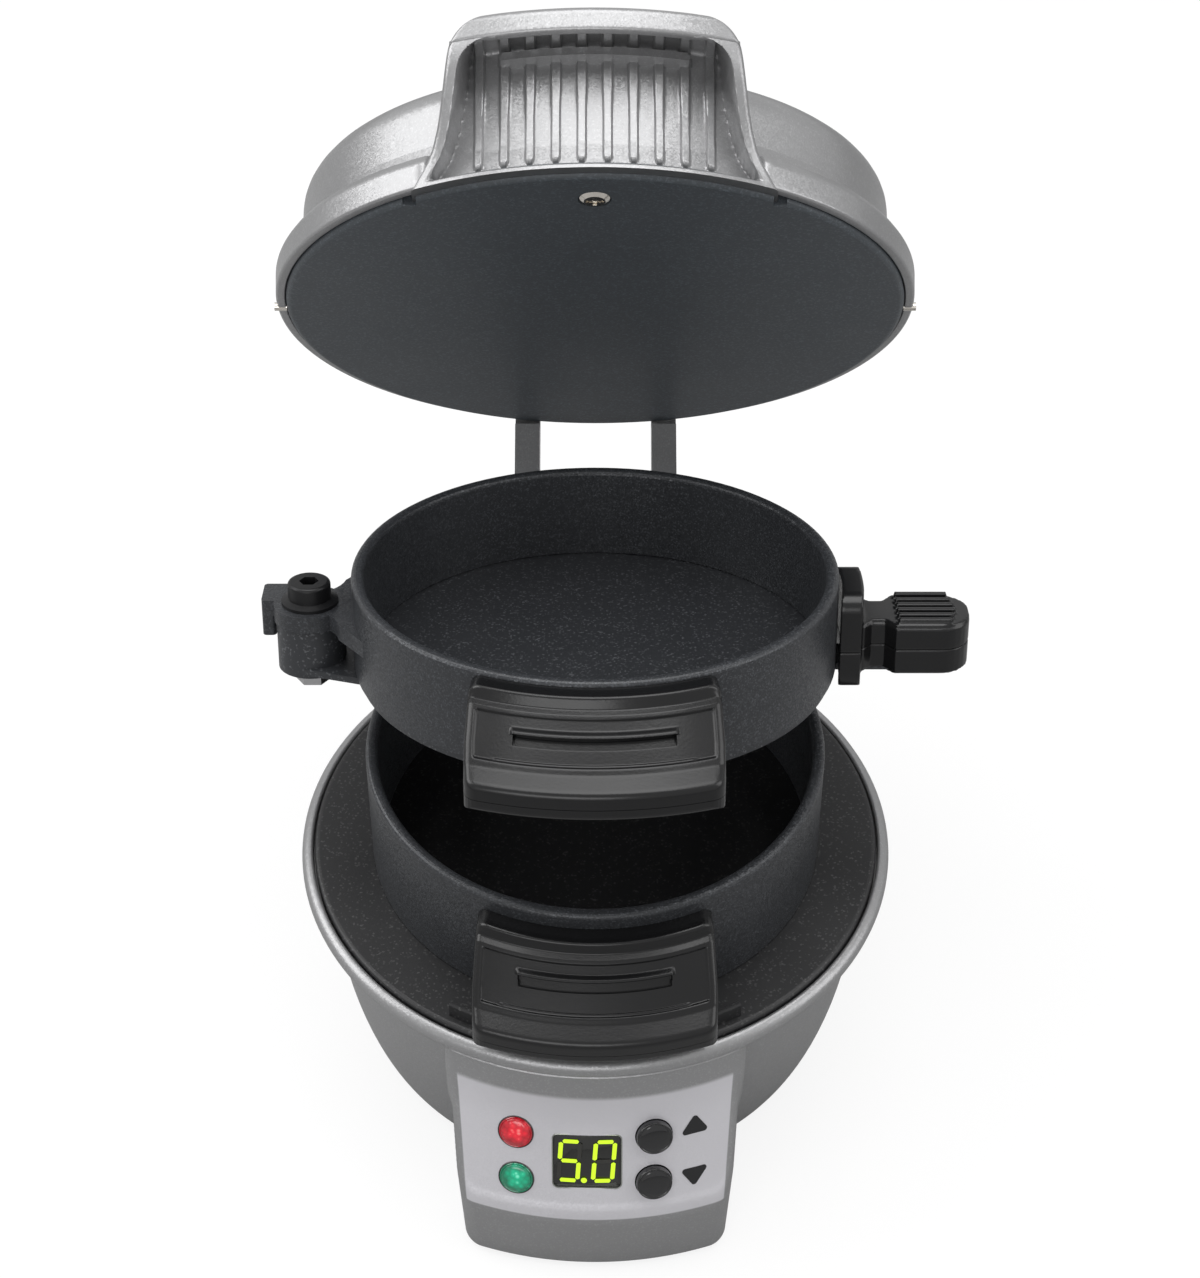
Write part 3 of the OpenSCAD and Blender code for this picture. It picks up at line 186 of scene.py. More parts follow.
def finish_material(name, colour, rough, metallic=0.0, coat=0.0, coat_rough=0.1, speck=None,
                    speck_colour=None, cells=2600.0, share=0.2, mottle=(60.0, 0.06), tone=0.08,
                    grain=(900.0, 0.02), specular=0.5, facets=None):
    """A finish with specks, slow unevenness of colour and roughness, and a fine surface grain.

    mottle is (cells a metre, change of roughness), grain (cells a metre, height in mm), facets (cells a
    metre, tip of the normal); share is the share of cells that are specks, speck how strongly they show."""
    mat = bpy.data.materials.new(name)
    mat.use_nodes = True
    tree = mat.node_tree
    shader = tree.nodes["Principled BSDF"]
    shader.inputs["Metallic"].default_value = metallic
    shader.inputs["Coat Weight"].default_value = coat
    shader.inputs["Coat Roughness"].default_value = coat_rough
    shader.inputs["Specular IOR Level"].default_value = specular
    slow = use_group(tree, MOTTLE, Scale=mottle[0], Detail=4.0)
    ramp = tree.nodes.new("ShaderNodeMix")
    ramp.data_type = "RGBA"
    low = [c * (1 - tone) for c in colour]
    high = [min(1.0, c * (1 + tone)) for c in colour]
    ramp.inputs["A"].default_value = (*low, 1)
    ramp.inputs["B"].default_value = (*high, 1)
    tree.links.new(slow.outputs["Value"], ramp.inputs["Factor"])
    shade = ramp.outputs["Result"]
    if speck:
        flakes = use_group(tree, FLAKES, Cells=cells, Share=share)
        mix = tree.nodes.new("ShaderNodeMix")
        mix.data_type = "RGBA"
        mix.inputs["B"].default_value = (*speck_colour, 1)
        tree.links.new(math_node(tree, "MULTIPLY", flakes.outputs["Mask"], speck), mix.inputs["Factor"])
        tree.links.new(shade, mix.inputs["A"])
        shade = mix.outputs["Result"]
    tree.links.new(shade, shader.inputs["Base Color"])
    dulled = tree.nodes.new("ShaderNodeMapRange")
    dulled.inputs["To Min"].default_value = rough - mottle[1]
    dulled.inputs["To Max"].default_value = rough + mottle[1]
    tree.links.new(slow.outputs["Value"], dulled.inputs["Value"])
    tree.links.new(dulled.outputs["Result"], shader.inputs["Roughness"])
    fine = use_group(tree, MOTTLE, Scale=grain[0], Detail=3.0)
    bump = tree.nodes.new("ShaderNodeBump")
    bump.inputs["Strength"].default_value = 1.0
    bump.inputs["Distance"].default_value = grain[1] * MM
    tree.links.new(fine.outputs["Value"], bump.inputs["Height"])
    if facets:
        tips = use_group(tree, FACETS, Cells=facets[0], Tip=facets[1])
        tree.links.new(tips.outputs["Normal"], bump.inputs["Normal"])
    tree.links.new(bump.outputs["Normal"], shader.inputs["Normal"])
    return mat


PAINT = finish_material("silver_flake_paint", (0.34, 0.34, 0.345), 0.36, metallic=0.6, coat=0.25,
                        coat_rough=0.2, speck=0.1, speck_colour=(0.9, 0.9, 0.92), cells=3200.0, share=0.2,
                        grain=(1500.0, 0.004), facets=(3000.0, 0.12), tone=0.03)


def panel_zone(mat):
    """Make the panel's face a paler, less metallic satin than the paint round it: partly a paler overlay, partly
    painted highlight standing in for the front light its face catches.
    """
    tree = mat.node_tree
    shader = tree.nodes["Principled BSDF"]
    place = tree.nodes.new("ShaderNodeTexCoord")
    split = tree.nodes.new("ShaderNodeSeparateXYZ")
    tree.links.new(place.outputs["Object"], split.inputs[0])

    def ramp(value, low, high):
        made = tree.nodes.new("ShaderNodeMapRange")
        made.interpolation_type = "SMOOTHSTEP"
        made.inputs["From Min"].default_value = low * MM
        made.inputs["From Max"].default_value = high * MM
        tree.links.new(value, made.inputs["Value"])
        return made.outputs["Result"]

    across, behind, height = split.outputs
    low_half = (NOSE_HALF - NOSE_TAPER - PANEL_MARGIN) * MM
    half = math_node(tree, "MULTIPLY_ADD", height, NOSE_TAPER / NOSE_TOP, low_half)
    inside = math_node(tree, "SUBTRACT", half, math_node(tree, "ABSOLUTE", across))
    below_top = math_node(tree, "SUBTRACT", PANEL_HIGH * MM, height)
    forward = math_node(tree, "MULTIPLY", behind, -1.0)
    mask = math_node(tree, "MULTIPLY", ramp(inside, 0.0, 0.3), ramp(height, PANEL_LOW, PANEL_LOW + 0.4))
    mask = math_node(tree, "MULTIPLY", mask, ramp(below_top, 0.0, 1.6))
    mask = math_node(tree, "MULTIPLY", mask, ramp(forward, 60.0, 62.0))
    # Painted highlight: part of this paler colour stands in for the light on the panel's forward-facing face,
    # the rest is the overlay's own tone
    panel_tone_and_light = tree.nodes.new("ShaderNodeMix")
    panel_tone_and_light.data_type = "RGBA"
    panel_tone_and_light.inputs["B"].default_value = (0.7, 0.69, 0.725, 1)
    tree.links.new(mask, panel_tone_and_light.inputs["Factor"])
    tree.links.new(shader.inputs["Base Color"].links[0].from_socket, panel_tone_and_light.inputs["A"])
    tree.links.new(panel_tone_and_light.outputs["Result"], shader.inputs["Base Color"])
    tree.links.new(math_node(tree, "MULTIPLY_ADD", mask, -0.25, 0.6), shader.inputs["Metallic"])


HOUSING_PAINT = PAINT.copy()
HOUSING_PAINT.name = "silver_flake_paint_with_panel"
panel_zone(HOUSING_PAINT)
RING_COAT = finish_material("ring_sparkle_coat", (0.036, 0.038, 0.042), 0.36, metallic=0.25, speck=0.16,
                            speck_colour=(0.3, 0.32, 0.35), cells=3000.0, share=0.3, grain=(1400.0, 0.02),
                            facets=(3000.0, 0.25))
BASE_COAT = finish_material("base_plate_coat", (0.012, 0.012, 0.013), 0.46, speck=0.25,
                            speck_colour=(0.2, 0.2, 0.2), cells=2300.0, share=0.12, grain=(1000.0, 0.03))
LID_COAT = finish_material("lid_plate_coat", (0.066, 0.075, 0.084), 0.46, metallic=0.1, speck=0.4,
                           speck_colour=(0.16, 0.19, 0.22), cells=2400.0, share=0.3, grain=(1100.0, 0.03))
EGG_COAT = finish_material("egg_plate_coat", (0.035, 0.037, 0.041), 0.4, metallic=0.2, speck=0.3,
                           speck_colour=(0.3, 0.31, 0.33), cells=2400.0, share=0.15)
HANDLE = finish_material("handle_satin_black", (0.007, 0.007, 0.0075), 0.24, grain=(1700.0, 0.02),
                         mottle=(90.0, 0.04), specular=0.45)
STEEL = finish_material("zinc_steel", (0.5, 0.5, 0.51), 0.3, metallic=1.0, grain=(400.0, 0.01))
NICKEL = finish_material("bright_nickel", (0.78, 0.74, 0.68), 0.18, metallic=1.0, grain=(300.0, 0.006))
HEATER = finish_material("sheathed_steel", (0.2, 0.19, 0.18), 0.5, metallic=1.0)
SHIELD = finish_material("rolled_sheet", (0.7, 0.7, 0.71), 0.3, metallic=1.0)
DARK = finish_material("matt_moulding", (0.02, 0.02, 0.022), 0.55, grain=(900.0, 0.04))
RUBBER = finish_material("matt_rubber", (0.015, 0.015, 0.015), 0.8, grain=(700.0, 0.05))
BEIGE = finish_material("heat_proof_moulding", (0.5, 0.42, 0.3), 0.5)
BOARD = finish_material("green_laminate", (0.02, 0.14, 0.05), 0.35)
LCD = finish_material("display_glass", (0.05, 0.055, 0.03), 0.2)
GLOSS = finish_material("key_gloss_black", (0.006, 0.006, 0.007), 0.12, coat=0.6, coat_rough=0.05,
                        grain=(200.0, 0.004))
BLACK_SCREW = finish_material("black_oxide", (0.012, 0.012, 0.013), 0.35, metallic=0.4)


HOT_SPOT = (0.4, 0.5)


def hot_spot(row):
    """Where a lamp looks brightest, in metres: a little to the right of its middle and above it."""
    up = row + HOT_SPOT[1]
    radius = -PANEL_Y - up * math.sin(PANEL_TILT)
    turn = math.asin((LENS_X + HOT_SPOT[0]) / radius)
    height = PANEL_Z + up * math.cos(PANEL_TILT)
    return (radius * math.sin(turn) * MM, -radius * math.cos(turn) * MM, height * MM)


def lens_material(name, row, deep, bright, hot):
    """A faceted translucent lens lit from behind: a hot spot off its middle, deep at the rim."""
    mat = bpy.data.materials.new(name)
    mat.use_nodes = True
    tree = mat.node_tree
    shader = tree.nodes["Principled BSDF"]
    shader.inputs["Roughness"].default_value = 0.12
    shader.inputs["Coat Weight"].default_value = 0.8
    shader.inputs["Coat Roughness"].default_value = 0.05
    place = tree.nodes.new("ShaderNodeTexCoord")
    cells = tree.nodes.new("ShaderNodeTexVoronoi")
    cells.inputs["Scale"].default_value = 800.0
    tree.links.new(place.outputs["Object"], cells.inputs["Vector"])
    centred = tree.nodes.new("ShaderNodeVectorMath")
    centred.operation = "SUBTRACT"
    centred.inputs[1].default_value = hot_spot(row)
    tree.links.new(place.outputs["Object"], centred.inputs[0])
    away = tree.nodes.new("ShaderNodeVectorMath")
    away.operation = "LENGTH"
    tree.links.new(centred.outputs[0], away.inputs[0])
    uneven = math_node(tree, "MULTIPLY_ADD", cells.outputs["Distance"], 2.2 * MM, away.outputs["Value"])
    ramp = tree.nodes.new("ShaderNodeValToRGB")
    ramp.color_ramp.elements[0].color = (*hot, 1)
    ramp.color_ramp.elements[0].position = 0.2
    ramp.color_ramp.elements[1].color = (*deep, 1)
    ramp.color_ramp.elements[1].position = 0.95
    ramp.color_ramp.elements.new(0.5).color = (*bright, 1)
    tree.links.new(math_node(tree, "DIVIDE", uneven, 5.0 * MM, clamp=True), ramp.inputs["Fac"])
    tree.links.new(ramp.outputs["Color"], shader.inputs["Base Color"])
    tree.links.new(ramp.outputs["Color"], shader.inputs["Emission Color"])
    shader.inputs["Emission Strength"].default_value = 0.4
    bump = tree.nodes.new("ShaderNodeBump")
    bump.inputs["Distance"].default_value = 0.0001
    tree.links.new(cells.outputs["Distance"], bump.inputs["Height"])
    tree.links.new(bump.outputs["Normal"], shader.inputs["Normal"])
    return mat


RED = lens_material("red_lens", ROW, (0.3, 0.0, 0.008), (0.75, 0.012, 0.03), (1.0, 0.45, 0.4))
GREEN = lens_material("green_lens", -ROW, (0.0, 0.13, 0.065), (0.0, 0.42, 0.22), (0.3, 0.95, 0.7))

NODE_FINISH = {
    PAINT: ["base_housing", "lid_shell", "lid_handle", "lid_hinge_arms"],
    RING_COAT: ["lower_ring", "upper_ring"],
    BASE_COAT: ["lower_plate"],
    LID_COAT: ["lid_plate"],
    EGG_COAT: ["egg_plate"],
    HANDLE: ["lower_handle_top", "lower_handle_underside", "upper_handle_top", "upper_handle_underside",
             "egg_handle_top", "egg_handle_underside"],
    STEEL: ["cover_screws", "lower_plate_screws", "board_screws", "lower_handle_screws", "upper_handle_screws",
            "pivot_washer", "pivot_nut", "egg_handle_screws", "lid_arm_screws", "hinge_pin", "pin_clips"],
    NICKEL: ["lid_plate_screw", "lid_side_pins"],
    HEATER: ["lower_heater", "lid_heater"],
    SHIELD: ["lower_heat_shield", "lid_reflector"],
    DARK: ["bottom_cover", "board_frame", "key_switches"],
    RUBBER: ["rubber_feet", "cord_gland"],
    BEIGE: ["thermostat", "thermal_fuse"],
    BOARD: ["control_board"],
    LCD: ["display_module", "display_window"],
    GLOSS: ["key_up", "key_down"],
    BLACK_SCREW: ["pivot_screw"],
    RED: ["power_lens"],
    GREEN: ["preheat_lens"],
}
for material, names in NODE_FINISH.items():
    for name in names:
        mesh = nodes[name].data
        mesh.materials.clear()
        mesh.materials.append(material)


# Mesh helpers: everything is drawn in millimetres and in the closed position

def sheet(points, closed=False, cap=False):
    """A grid of faces moved to an array of points, rows by columns."""
    rows, columns = points.shape[:2]
    bm = bmesh.new()
    bmesh.ops.create_grid(bm, x_segments=columns - 1, y_segments=rows - 1, size=1.0)
    for v in bm.verts:
        i = round((v.co.x + 1) / 2 * (columns - 1))
        j = round((v.co.y + 1) / 2 * (rows - 1))
        v.co = points[j][i]
    if closed:
        bmesh.ops.remove_doubles(bm, verts=bm.verts, dist=1e-4)
    if cap:
        edges = [e for e in bm.edges if e.is_boundary]
        bmesh.ops.holes_fill(bm, edges=edges, sides=0)
    return bm


def revolve(outline, steps=180):
    """A closed turn of an [r, z] outline about the upright axis."""
    a = np.linspace(0, math.tau, steps + 1)
    r, z = np.array(outline, float).T
    grid = np.stack([r[:, None] * np.cos(a), r[:, None] * np.sin(a), np.repeat(z[:, None], steps + 1, 1)], 2)
    grid[:, -1] = grid[:, 0]
    return sheet(grid, closed=True)


def rounded(points, radii, steps=6, closed=False):
    """A chain of points with its corners rounded."""
    out = []
    count = len(points)
    for i, here in enumerate(points):
        here = np.array(here, float)
        size = radii[i] if isinstance(radii, (list, tuple)) else radii
        if not size or (not closed and i in (0, count - 1)):
            out.append(here)
            continue
        a = np.subtract(points[i - 1], here)
        b = np.subtract(points[(i + 1) % count], here)
        la, lb = np.linalg.norm(a), np.linalg.norm(b)
        a, b = a / la, b / lb
        half = math.acos(max(-1.0, min(1.0, float(a @ b)))) / 2
        if half > 1.56:
            out.append(here)
            continue
        cut = min(size / math.tan(half), la * 0.49, lb * 0.49)
        radius = cut * math.tan(half)
        centre = here + (a + b) / np.linalg.norm(a + b) * radius / math.sin(half)
        first, last = here + a * cut - centre, here + b * cut - centre
        sweep = math.pi - 2 * half
        for k in range(steps + 1):
            turn = sweep * k / steps
            arc = math.sin(sweep - turn) * first + math.sin(turn) * last
            out.append(centre + arc / math.sin(sweep))
    return np.array(out)


def resample(points, step):
    """The same chain with no stretch longer than step."""
    out = [points[0]]
    for a, b in zip(points, points[1:]):
        n = max(1, math.ceil(np.linalg.norm(np.subtract(b, a)) / step))
        out += [a + (b - a) * k / n for k in range(1, n + 1)]
    return np.array(out)


def emit(name, bm, body, material, replaces=(), sharp=45, place=None):
    """Turn a drawn mesh to its place at rest and let it ride on its body."""
    bmesh.ops.recalc_face_normals(bm, faces=bm.faces)
    if place:
        bm.transform(place)
    bm.transform(Matrix.Scale(MM, 4) @ LIFT[body])
    mesh = bpy.data.meshes.new(name)
    bm.to_mesh(mesh)
    bm.free()
    mesh.materials.append(material)
    return ride_mesh(name, mesh, body, replaces, sharp)


def ride_mesh(name, mesh, body, replaces=(), sharp=45):
    mesh.shade_smooth()
    mesh.set_sharp_from_angle(angle=math.radians(sharp))
    obj = bpy.data.objects.new(name, mesh)
    scene.collection.objects.link(obj)
    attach(obj, body)
    if replaces:
        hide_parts(*replaces)
    return obj


def applied(obj):
    """The object's mesh with its modifiers made real."""
    graph = bpy.context.evaluated_depsgraph_get()
    mesh = bpy.data.meshes.new_from_object(obj.evaluated_get(graph))
    obj.modifiers.clear()
    obj.data = mesh
    return obj


def smoothstep(low, high, value):
    t = np.clip((value - low) / (high - low), 0, 1)
    return t * t * (3 - 2 * t)


def soften(name, node_name, body, material, voxel, turns, factor=0.5):
    """A CAD node's own shape with its edges worn round, by a fine remesh and a light smoothing."""
    mesh = nodes[node_name].data.copy()
    bm = bmesh.new()
    bm.from_mesh(mesh)
    bmesh.ops.remove_doubles(bm, verts=bm.verts, dist=1e-6)
    bm.to_mesh(mesh)
    bm.free()
    obj = bpy.data.objects.new(name, mesh)
    scene.collection.objects.link(obj)
    remesh = obj.modifiers.new("remesh", "REMESH")
    remesh.mode = "VOXEL"
    remesh.voxel_size = voxel * MM
    remesh.adaptivity = 0.0
    smooth = obj.modifiers.new("smooth", "SMOOTH")
    smooth.factor = factor
    smooth.iterations = turns
    applied(obj)
    obj.data.materials.clear()
    obj.data.materials.append(material)
    obj.data.shade_smooth()
    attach(obj, body)
    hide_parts(node_name)
    return obj


# Housing: its radius at each angle and height comes from the bowl, the nose, the collar and the tower



def round_and(a, b, r):
    """Distance to what two shapes share, with a rounded edge."""
    return np.minimum(-r, np.maximum(a, b)) + np.hypot(np.maximum(a + r, 0), np.maximum(b + r, 0))


def round_or(a, b, r):
    """Distance to two joined shapes, with a filled corner."""
    return np.maximum(r, np.minimum(a, b)) - np.hypot(np.maximum(r - a, 0), np.maximum(r - b, 0))


def bowl_radius(z):
    low = 54.8 + 11.2 * np.sin(np.radians(90 * np.clip(z / 50, 0, 1))) ** 0.57
    turn = np.arcsin(np.clip((z - 50) / 7.5, 0, 1))
    return np.where(z < 50, low, 66 + 5.9 * (1 - np.cos(turn)))


def housing_distance(x, y, z):
    """Distance in mm to the housing's outside: below nought is inside."""
    flat = np.hypot(x, y)
    bowl = flat - bowl_radius(z)
    side = np.abs(x) - (NOSE_HALF - NOSE_TAPER * (1 - z / NOSE_TOP))
    edge = round_and(flat - NOSE_R, side, 4.0)
    slope = (flat + PANEL_Y) * math.cos(PANEL_TILT) + (z - PANEL_Z) * math.sin(PANEL_TILT)
    # A fine raised bead runs round the panel
    slope = slope - 0.3 * np.exp(-((edge + 1.0) / 0.5) ** 2)
    nose = round_and(edge, slope, 0.7)
    nose = np.maximum(nose, y + 20)
    nose = round_and(nose, z - NOSE_TOP, 0.8)
    collar = round_and(flat - COLLAR_R, np.abs(x) - NOSE_HALF, 1.0)
    collar = np.maximum(np.maximum(collar, y + 20), COLLAR_LOW - z)
    nose = round_or(nose, collar, 3.0)
    tower = round_and(flat - TOWER_R, np.abs(x) - TOWER_HALF, 3.0)
    tower = round_and(np.maximum(tower, 30 - y), z - TOWER_TOP, 1.6)
    whole = round_or(bowl, nose, 1.2)
    whole = round_or(whole, tower, 1.6)
    return round_and(whole, FOOT_Z - z, 0.9)


def spread(stretches):
    """Numbers from start to end of each stretch, at its own step."""
    out = [stretches[0][0]]
    for start, end, step in stretches:
        n = max(1, round((end - start) / step))
        out += [start + (end - start) * i / n for i in range(1, n + 1)]
    return np.array(out)


def reach(angles, heights, inset):
    """Furthest point from the axis that lies inset deep in the housing, at each height and angle."""
    a, z = np.meshgrid(angles, heights)
    x, y = np.sin(a), -np.cos(a)
    outer = np.full(a.shape, 90.0)
    for step in range(80):
        outer = np.where(housing_distance(outer * x, outer * y, z) > 0.4 - inset, outer - 0.5, outer)
    low, high = outer - 2.0, outer + 0.6
    for step in range(18):
        middle = (low + high) / 2
        solid = housing_distance(middle * x, middle * y, z) < -inset
        low = np.where(solid, middle, low)
        high = np.where(solid, high, middle)
    return low


def housing():
    # Degrees from the front, closer together at the nose's and the tower's edges
    half = spread([(0, 19, 1.0), (19, 25.5, 0.25), (25.5, 36, 0.6), (36, 146, 2.2), (146, 156, 0.5),
                   (156, 161, 0.3), (161, 180, 1.2)])
    angles = np.radians(np.concatenate([half, 360 - half[-2::-1]]))
    walls = spread([(1.21, 2.2, 0.12), (2.2, 4, 0.45), (4, 15.5, 1.5), (15.5, 20.5, 0.14), (20.5, 44, 0.8),
                    (44, 50, 0.35), (50, 51.7, 0.2), (51.7, 52.4, 0.05), (52.4, 55.4, 0.3), (55.4, 56.7, 0.07),
                    (56.7, 57.6, 0.18)])
    # The rolled rim, then in under the plate's edge
    lip = [(72.45, 57.9), (72.6, 58.5), (72.6, 59.1), (72.5, 59.7), (72.2, 60.3), (71.75, 60.8), (71.1, 61.2),
           (70.5, 61.36), (70.1, 61.3), (69.85, 61.05), (69.75, 60.5), (69.7, 58.5), (66.0, 58.45),
           (64.4, 58.4), (64.4, 56.2)]
    inner = reach(angles, np.array([5.4]), 1.25)
    turn = np.stack([np.sin(angles), -np.cos(angles)], 1)

    def row(radius, z):
        flat = np.asarray(radius)[..., None] * turn
        return np.concatenate([flat, np.full((len(angles), 1), z)], 1)

    foot = np.minimum(inner[0], reach(angles, [1.21], 0)[0] - 0.05)
    rows = [row(inner[0], 8.0), row(inner[0], 3.0), row(foot, 1.25)]
    rows += [row(r, z) for r, z in zip(reach(angles, walls, 0), walls)]
    rows += [row(np.full(len(angles), r), z) for r, z in lip]
    grid = np.array(rows)
    grid[:, -1] = grid[:, 0]
    return sheet(grid, closed=True)


PANEL = Matrix.Translation((0, PANEL_Y, PANEL_Z)) @ Matrix.Rotation(math.radians(68), 4, "X")


def box_outline(w, h, r, steps=6):
    corners = [(-w / 2, -h / 2), (w / 2, -h / 2), (w / 2, h / 2), (-w / 2, h / 2)]
    return rounded(corners, r, steps, closed=True)


def slab(outline, levels):
    """A closed block from one plan outline: levels are (height, how far the outline is drawn in)."""
    outline = np.array(outline, float)
    ahead, behind = np.roll(outline, -1, 0), np.roll(outline, 1, 0)
    along = ahead - behind
    normal = np.stack([along[:, 1], -along[:, 0]], 1)
    normal /= np.linalg.norm(normal, axis=1)[:, None]
    rows = []
    for z, inset in levels:
        flat = outline - normal * inset
        rows.append(np.concatenate([flat, np.full((len(flat), 1), z)], 1))
    grid = np.array(rows)
    grid = np.concatenate([grid, grid[:, :1]], 1)
    return sheet(grid, closed=True, cap=True)


def disc_outline(r, steps=64):
    a = np.linspace(0, math.tau, steps, endpoint=False)
    return np.stack([r * np.cos(a), r * np.sin(a)], 1)


def cutter(bm):
    mesh = bpy.data.meshes.new("cutter")
    bmesh.ops.recalc_face_normals(bm, faces=bm.faces)
    bm.transform(Matrix.Scale(MM, 4))
    bm.to_mesh(mesh)
    bm.free()
    obj = bpy.data.objects.new("cutter", mesh)
    scene.collection.objects.link(obj)
    return obj


def cut(obj, bm):
    """Cut a drawn solid out of an object."""
    tool = cutter(bm)
    modifier = obj.modifiers.new("cut", "BOOLEAN")
    modifier.operation = "DIFFERENCE"
    modifier.solver = "EXACT"
    modifier.object = tool
    applied(obj)
    bpy.data.objects.remove(tool)


def placed(bm, matrix):
    bm.transform(matrix)
    return bm


def joined(parts):
    """Several drawn solids as one mesh."""
    whole = bmesh.new()
    for part in parts:
        mesh = bpy.data.meshes.new("part")
        part.to_mesh(mesh)
        part.free()
        whole.from_mesh(mesh)
        bpy.data.meshes.remove(mesh)
    return whole


def panel_turned(x, y):
    """Turn about the upright axis that brings the panel's middle line out to x, at y up the slope."""
    return Matrix.Rotation(math.asin(x / (-PANEL_Y - y * math.sin(PANEL_TILT))), 4, "Z")


def place_on_panel(bm, x, y, z=0.0):
    return placed(bm, panel_turned(x, y) @ PANEL @ Matrix.Translation((0, y, z)))


def wrap_on_panel(bm, x, y=0.0):
    """Bend a flat drawing round the panel's cone."""
    for v in bm.verts:
        across, up, out = v.co.x + x, v.co.y + y, v.co.z
        v.co = panel_turned(across, up) @ PANEL @ Vector((0, up, out))
    return bm


def housing_piece():
    shell = emit("housing_shell", housing(), "base", HOUSING_PAINT, ["base_housing"], sharp=50)
    holes = [place_on_panel(slab(disc_outline(4.15), [(-9, 0), (6, 0)]), LENS_X, s * ROW) for s in (-1, 1)]
    holes += [place_on_panel(slab(disc_outline(4.5), [(-9, 0), (6, 0)]), KEY_X, s * ROW) for s in (-1, 1)]
    holes.append(wrap_on_panel(slab(box_outline(*WINDOW, 1.2), [(-9, 0), (6, 0)]), WINDOW_X))
    cut(shell, joined(holes))
    shell.data.shade_smooth()
    shell.data.set_sharp_from_angle(angle=math.radians(50))
    return shell


def cheek(side):
    """One upright of the hinge on the tower."""
    a = np.radians(np.linspace(0, 180, 25))
    top = [(HINGE_Y + 7 * math.cos(t), HINGE_Z + 7 * math.sin(t)) for t in a]
    outline = [(HINGE_Y + 7, 51.0)] + top + [(HINGE_Y - 7.5, 52.5), (HINGE_Y - 8, 51.0)]
    bm = slab(outline, [(0, 0.5), (0.15, 0.15), (0.5, 0), (5.9, 0), (6.25, 0.15), (6.4, 0.5)])
    x0 = 21.5 if side > 0 else -27.9
    turn = Matrix(((0, 0, 1, x0), (1, 0, 0, 0), (0, 1, 0, 0), (0, 0, 0, 1)))
    return placed(bm, turn)


housing_piece()
emit("hinge_cheeks", joined([cheek(-1), cheek(1)]), "base", PAINT)


# Ring handles: the side outline runs along the rows, the fan plan along the columns

HANDLE_R = 77.0
HANDLE_HALF = 28.0
CORNER = 4.0
SUNK = 0.5
BROW = 0.75
SLOT_DEPTH = 1.5
LINE_HEIGHT = 0.22


def handle_outline(r0):
    """Side outline from the ring's wall over the ridge, the shelf and the slope to the lip."""
    corners = [(r0 + 0.05, 21.5), (r0 + 4.4, 21.5), (r0 + 5.3, 18.9), (r0 + 6.7, 18.3), (HANDLE_R - 4.5, 8.8),
               (HANDLE_R, 6.6), (HANDLE_R, 4.0)]
    chain = rounded(corners, [0, 0.9, 0.6, 0.7, 2.0, 1.9, 0], steps=7)
    return corners, resample(chain, 0.3)


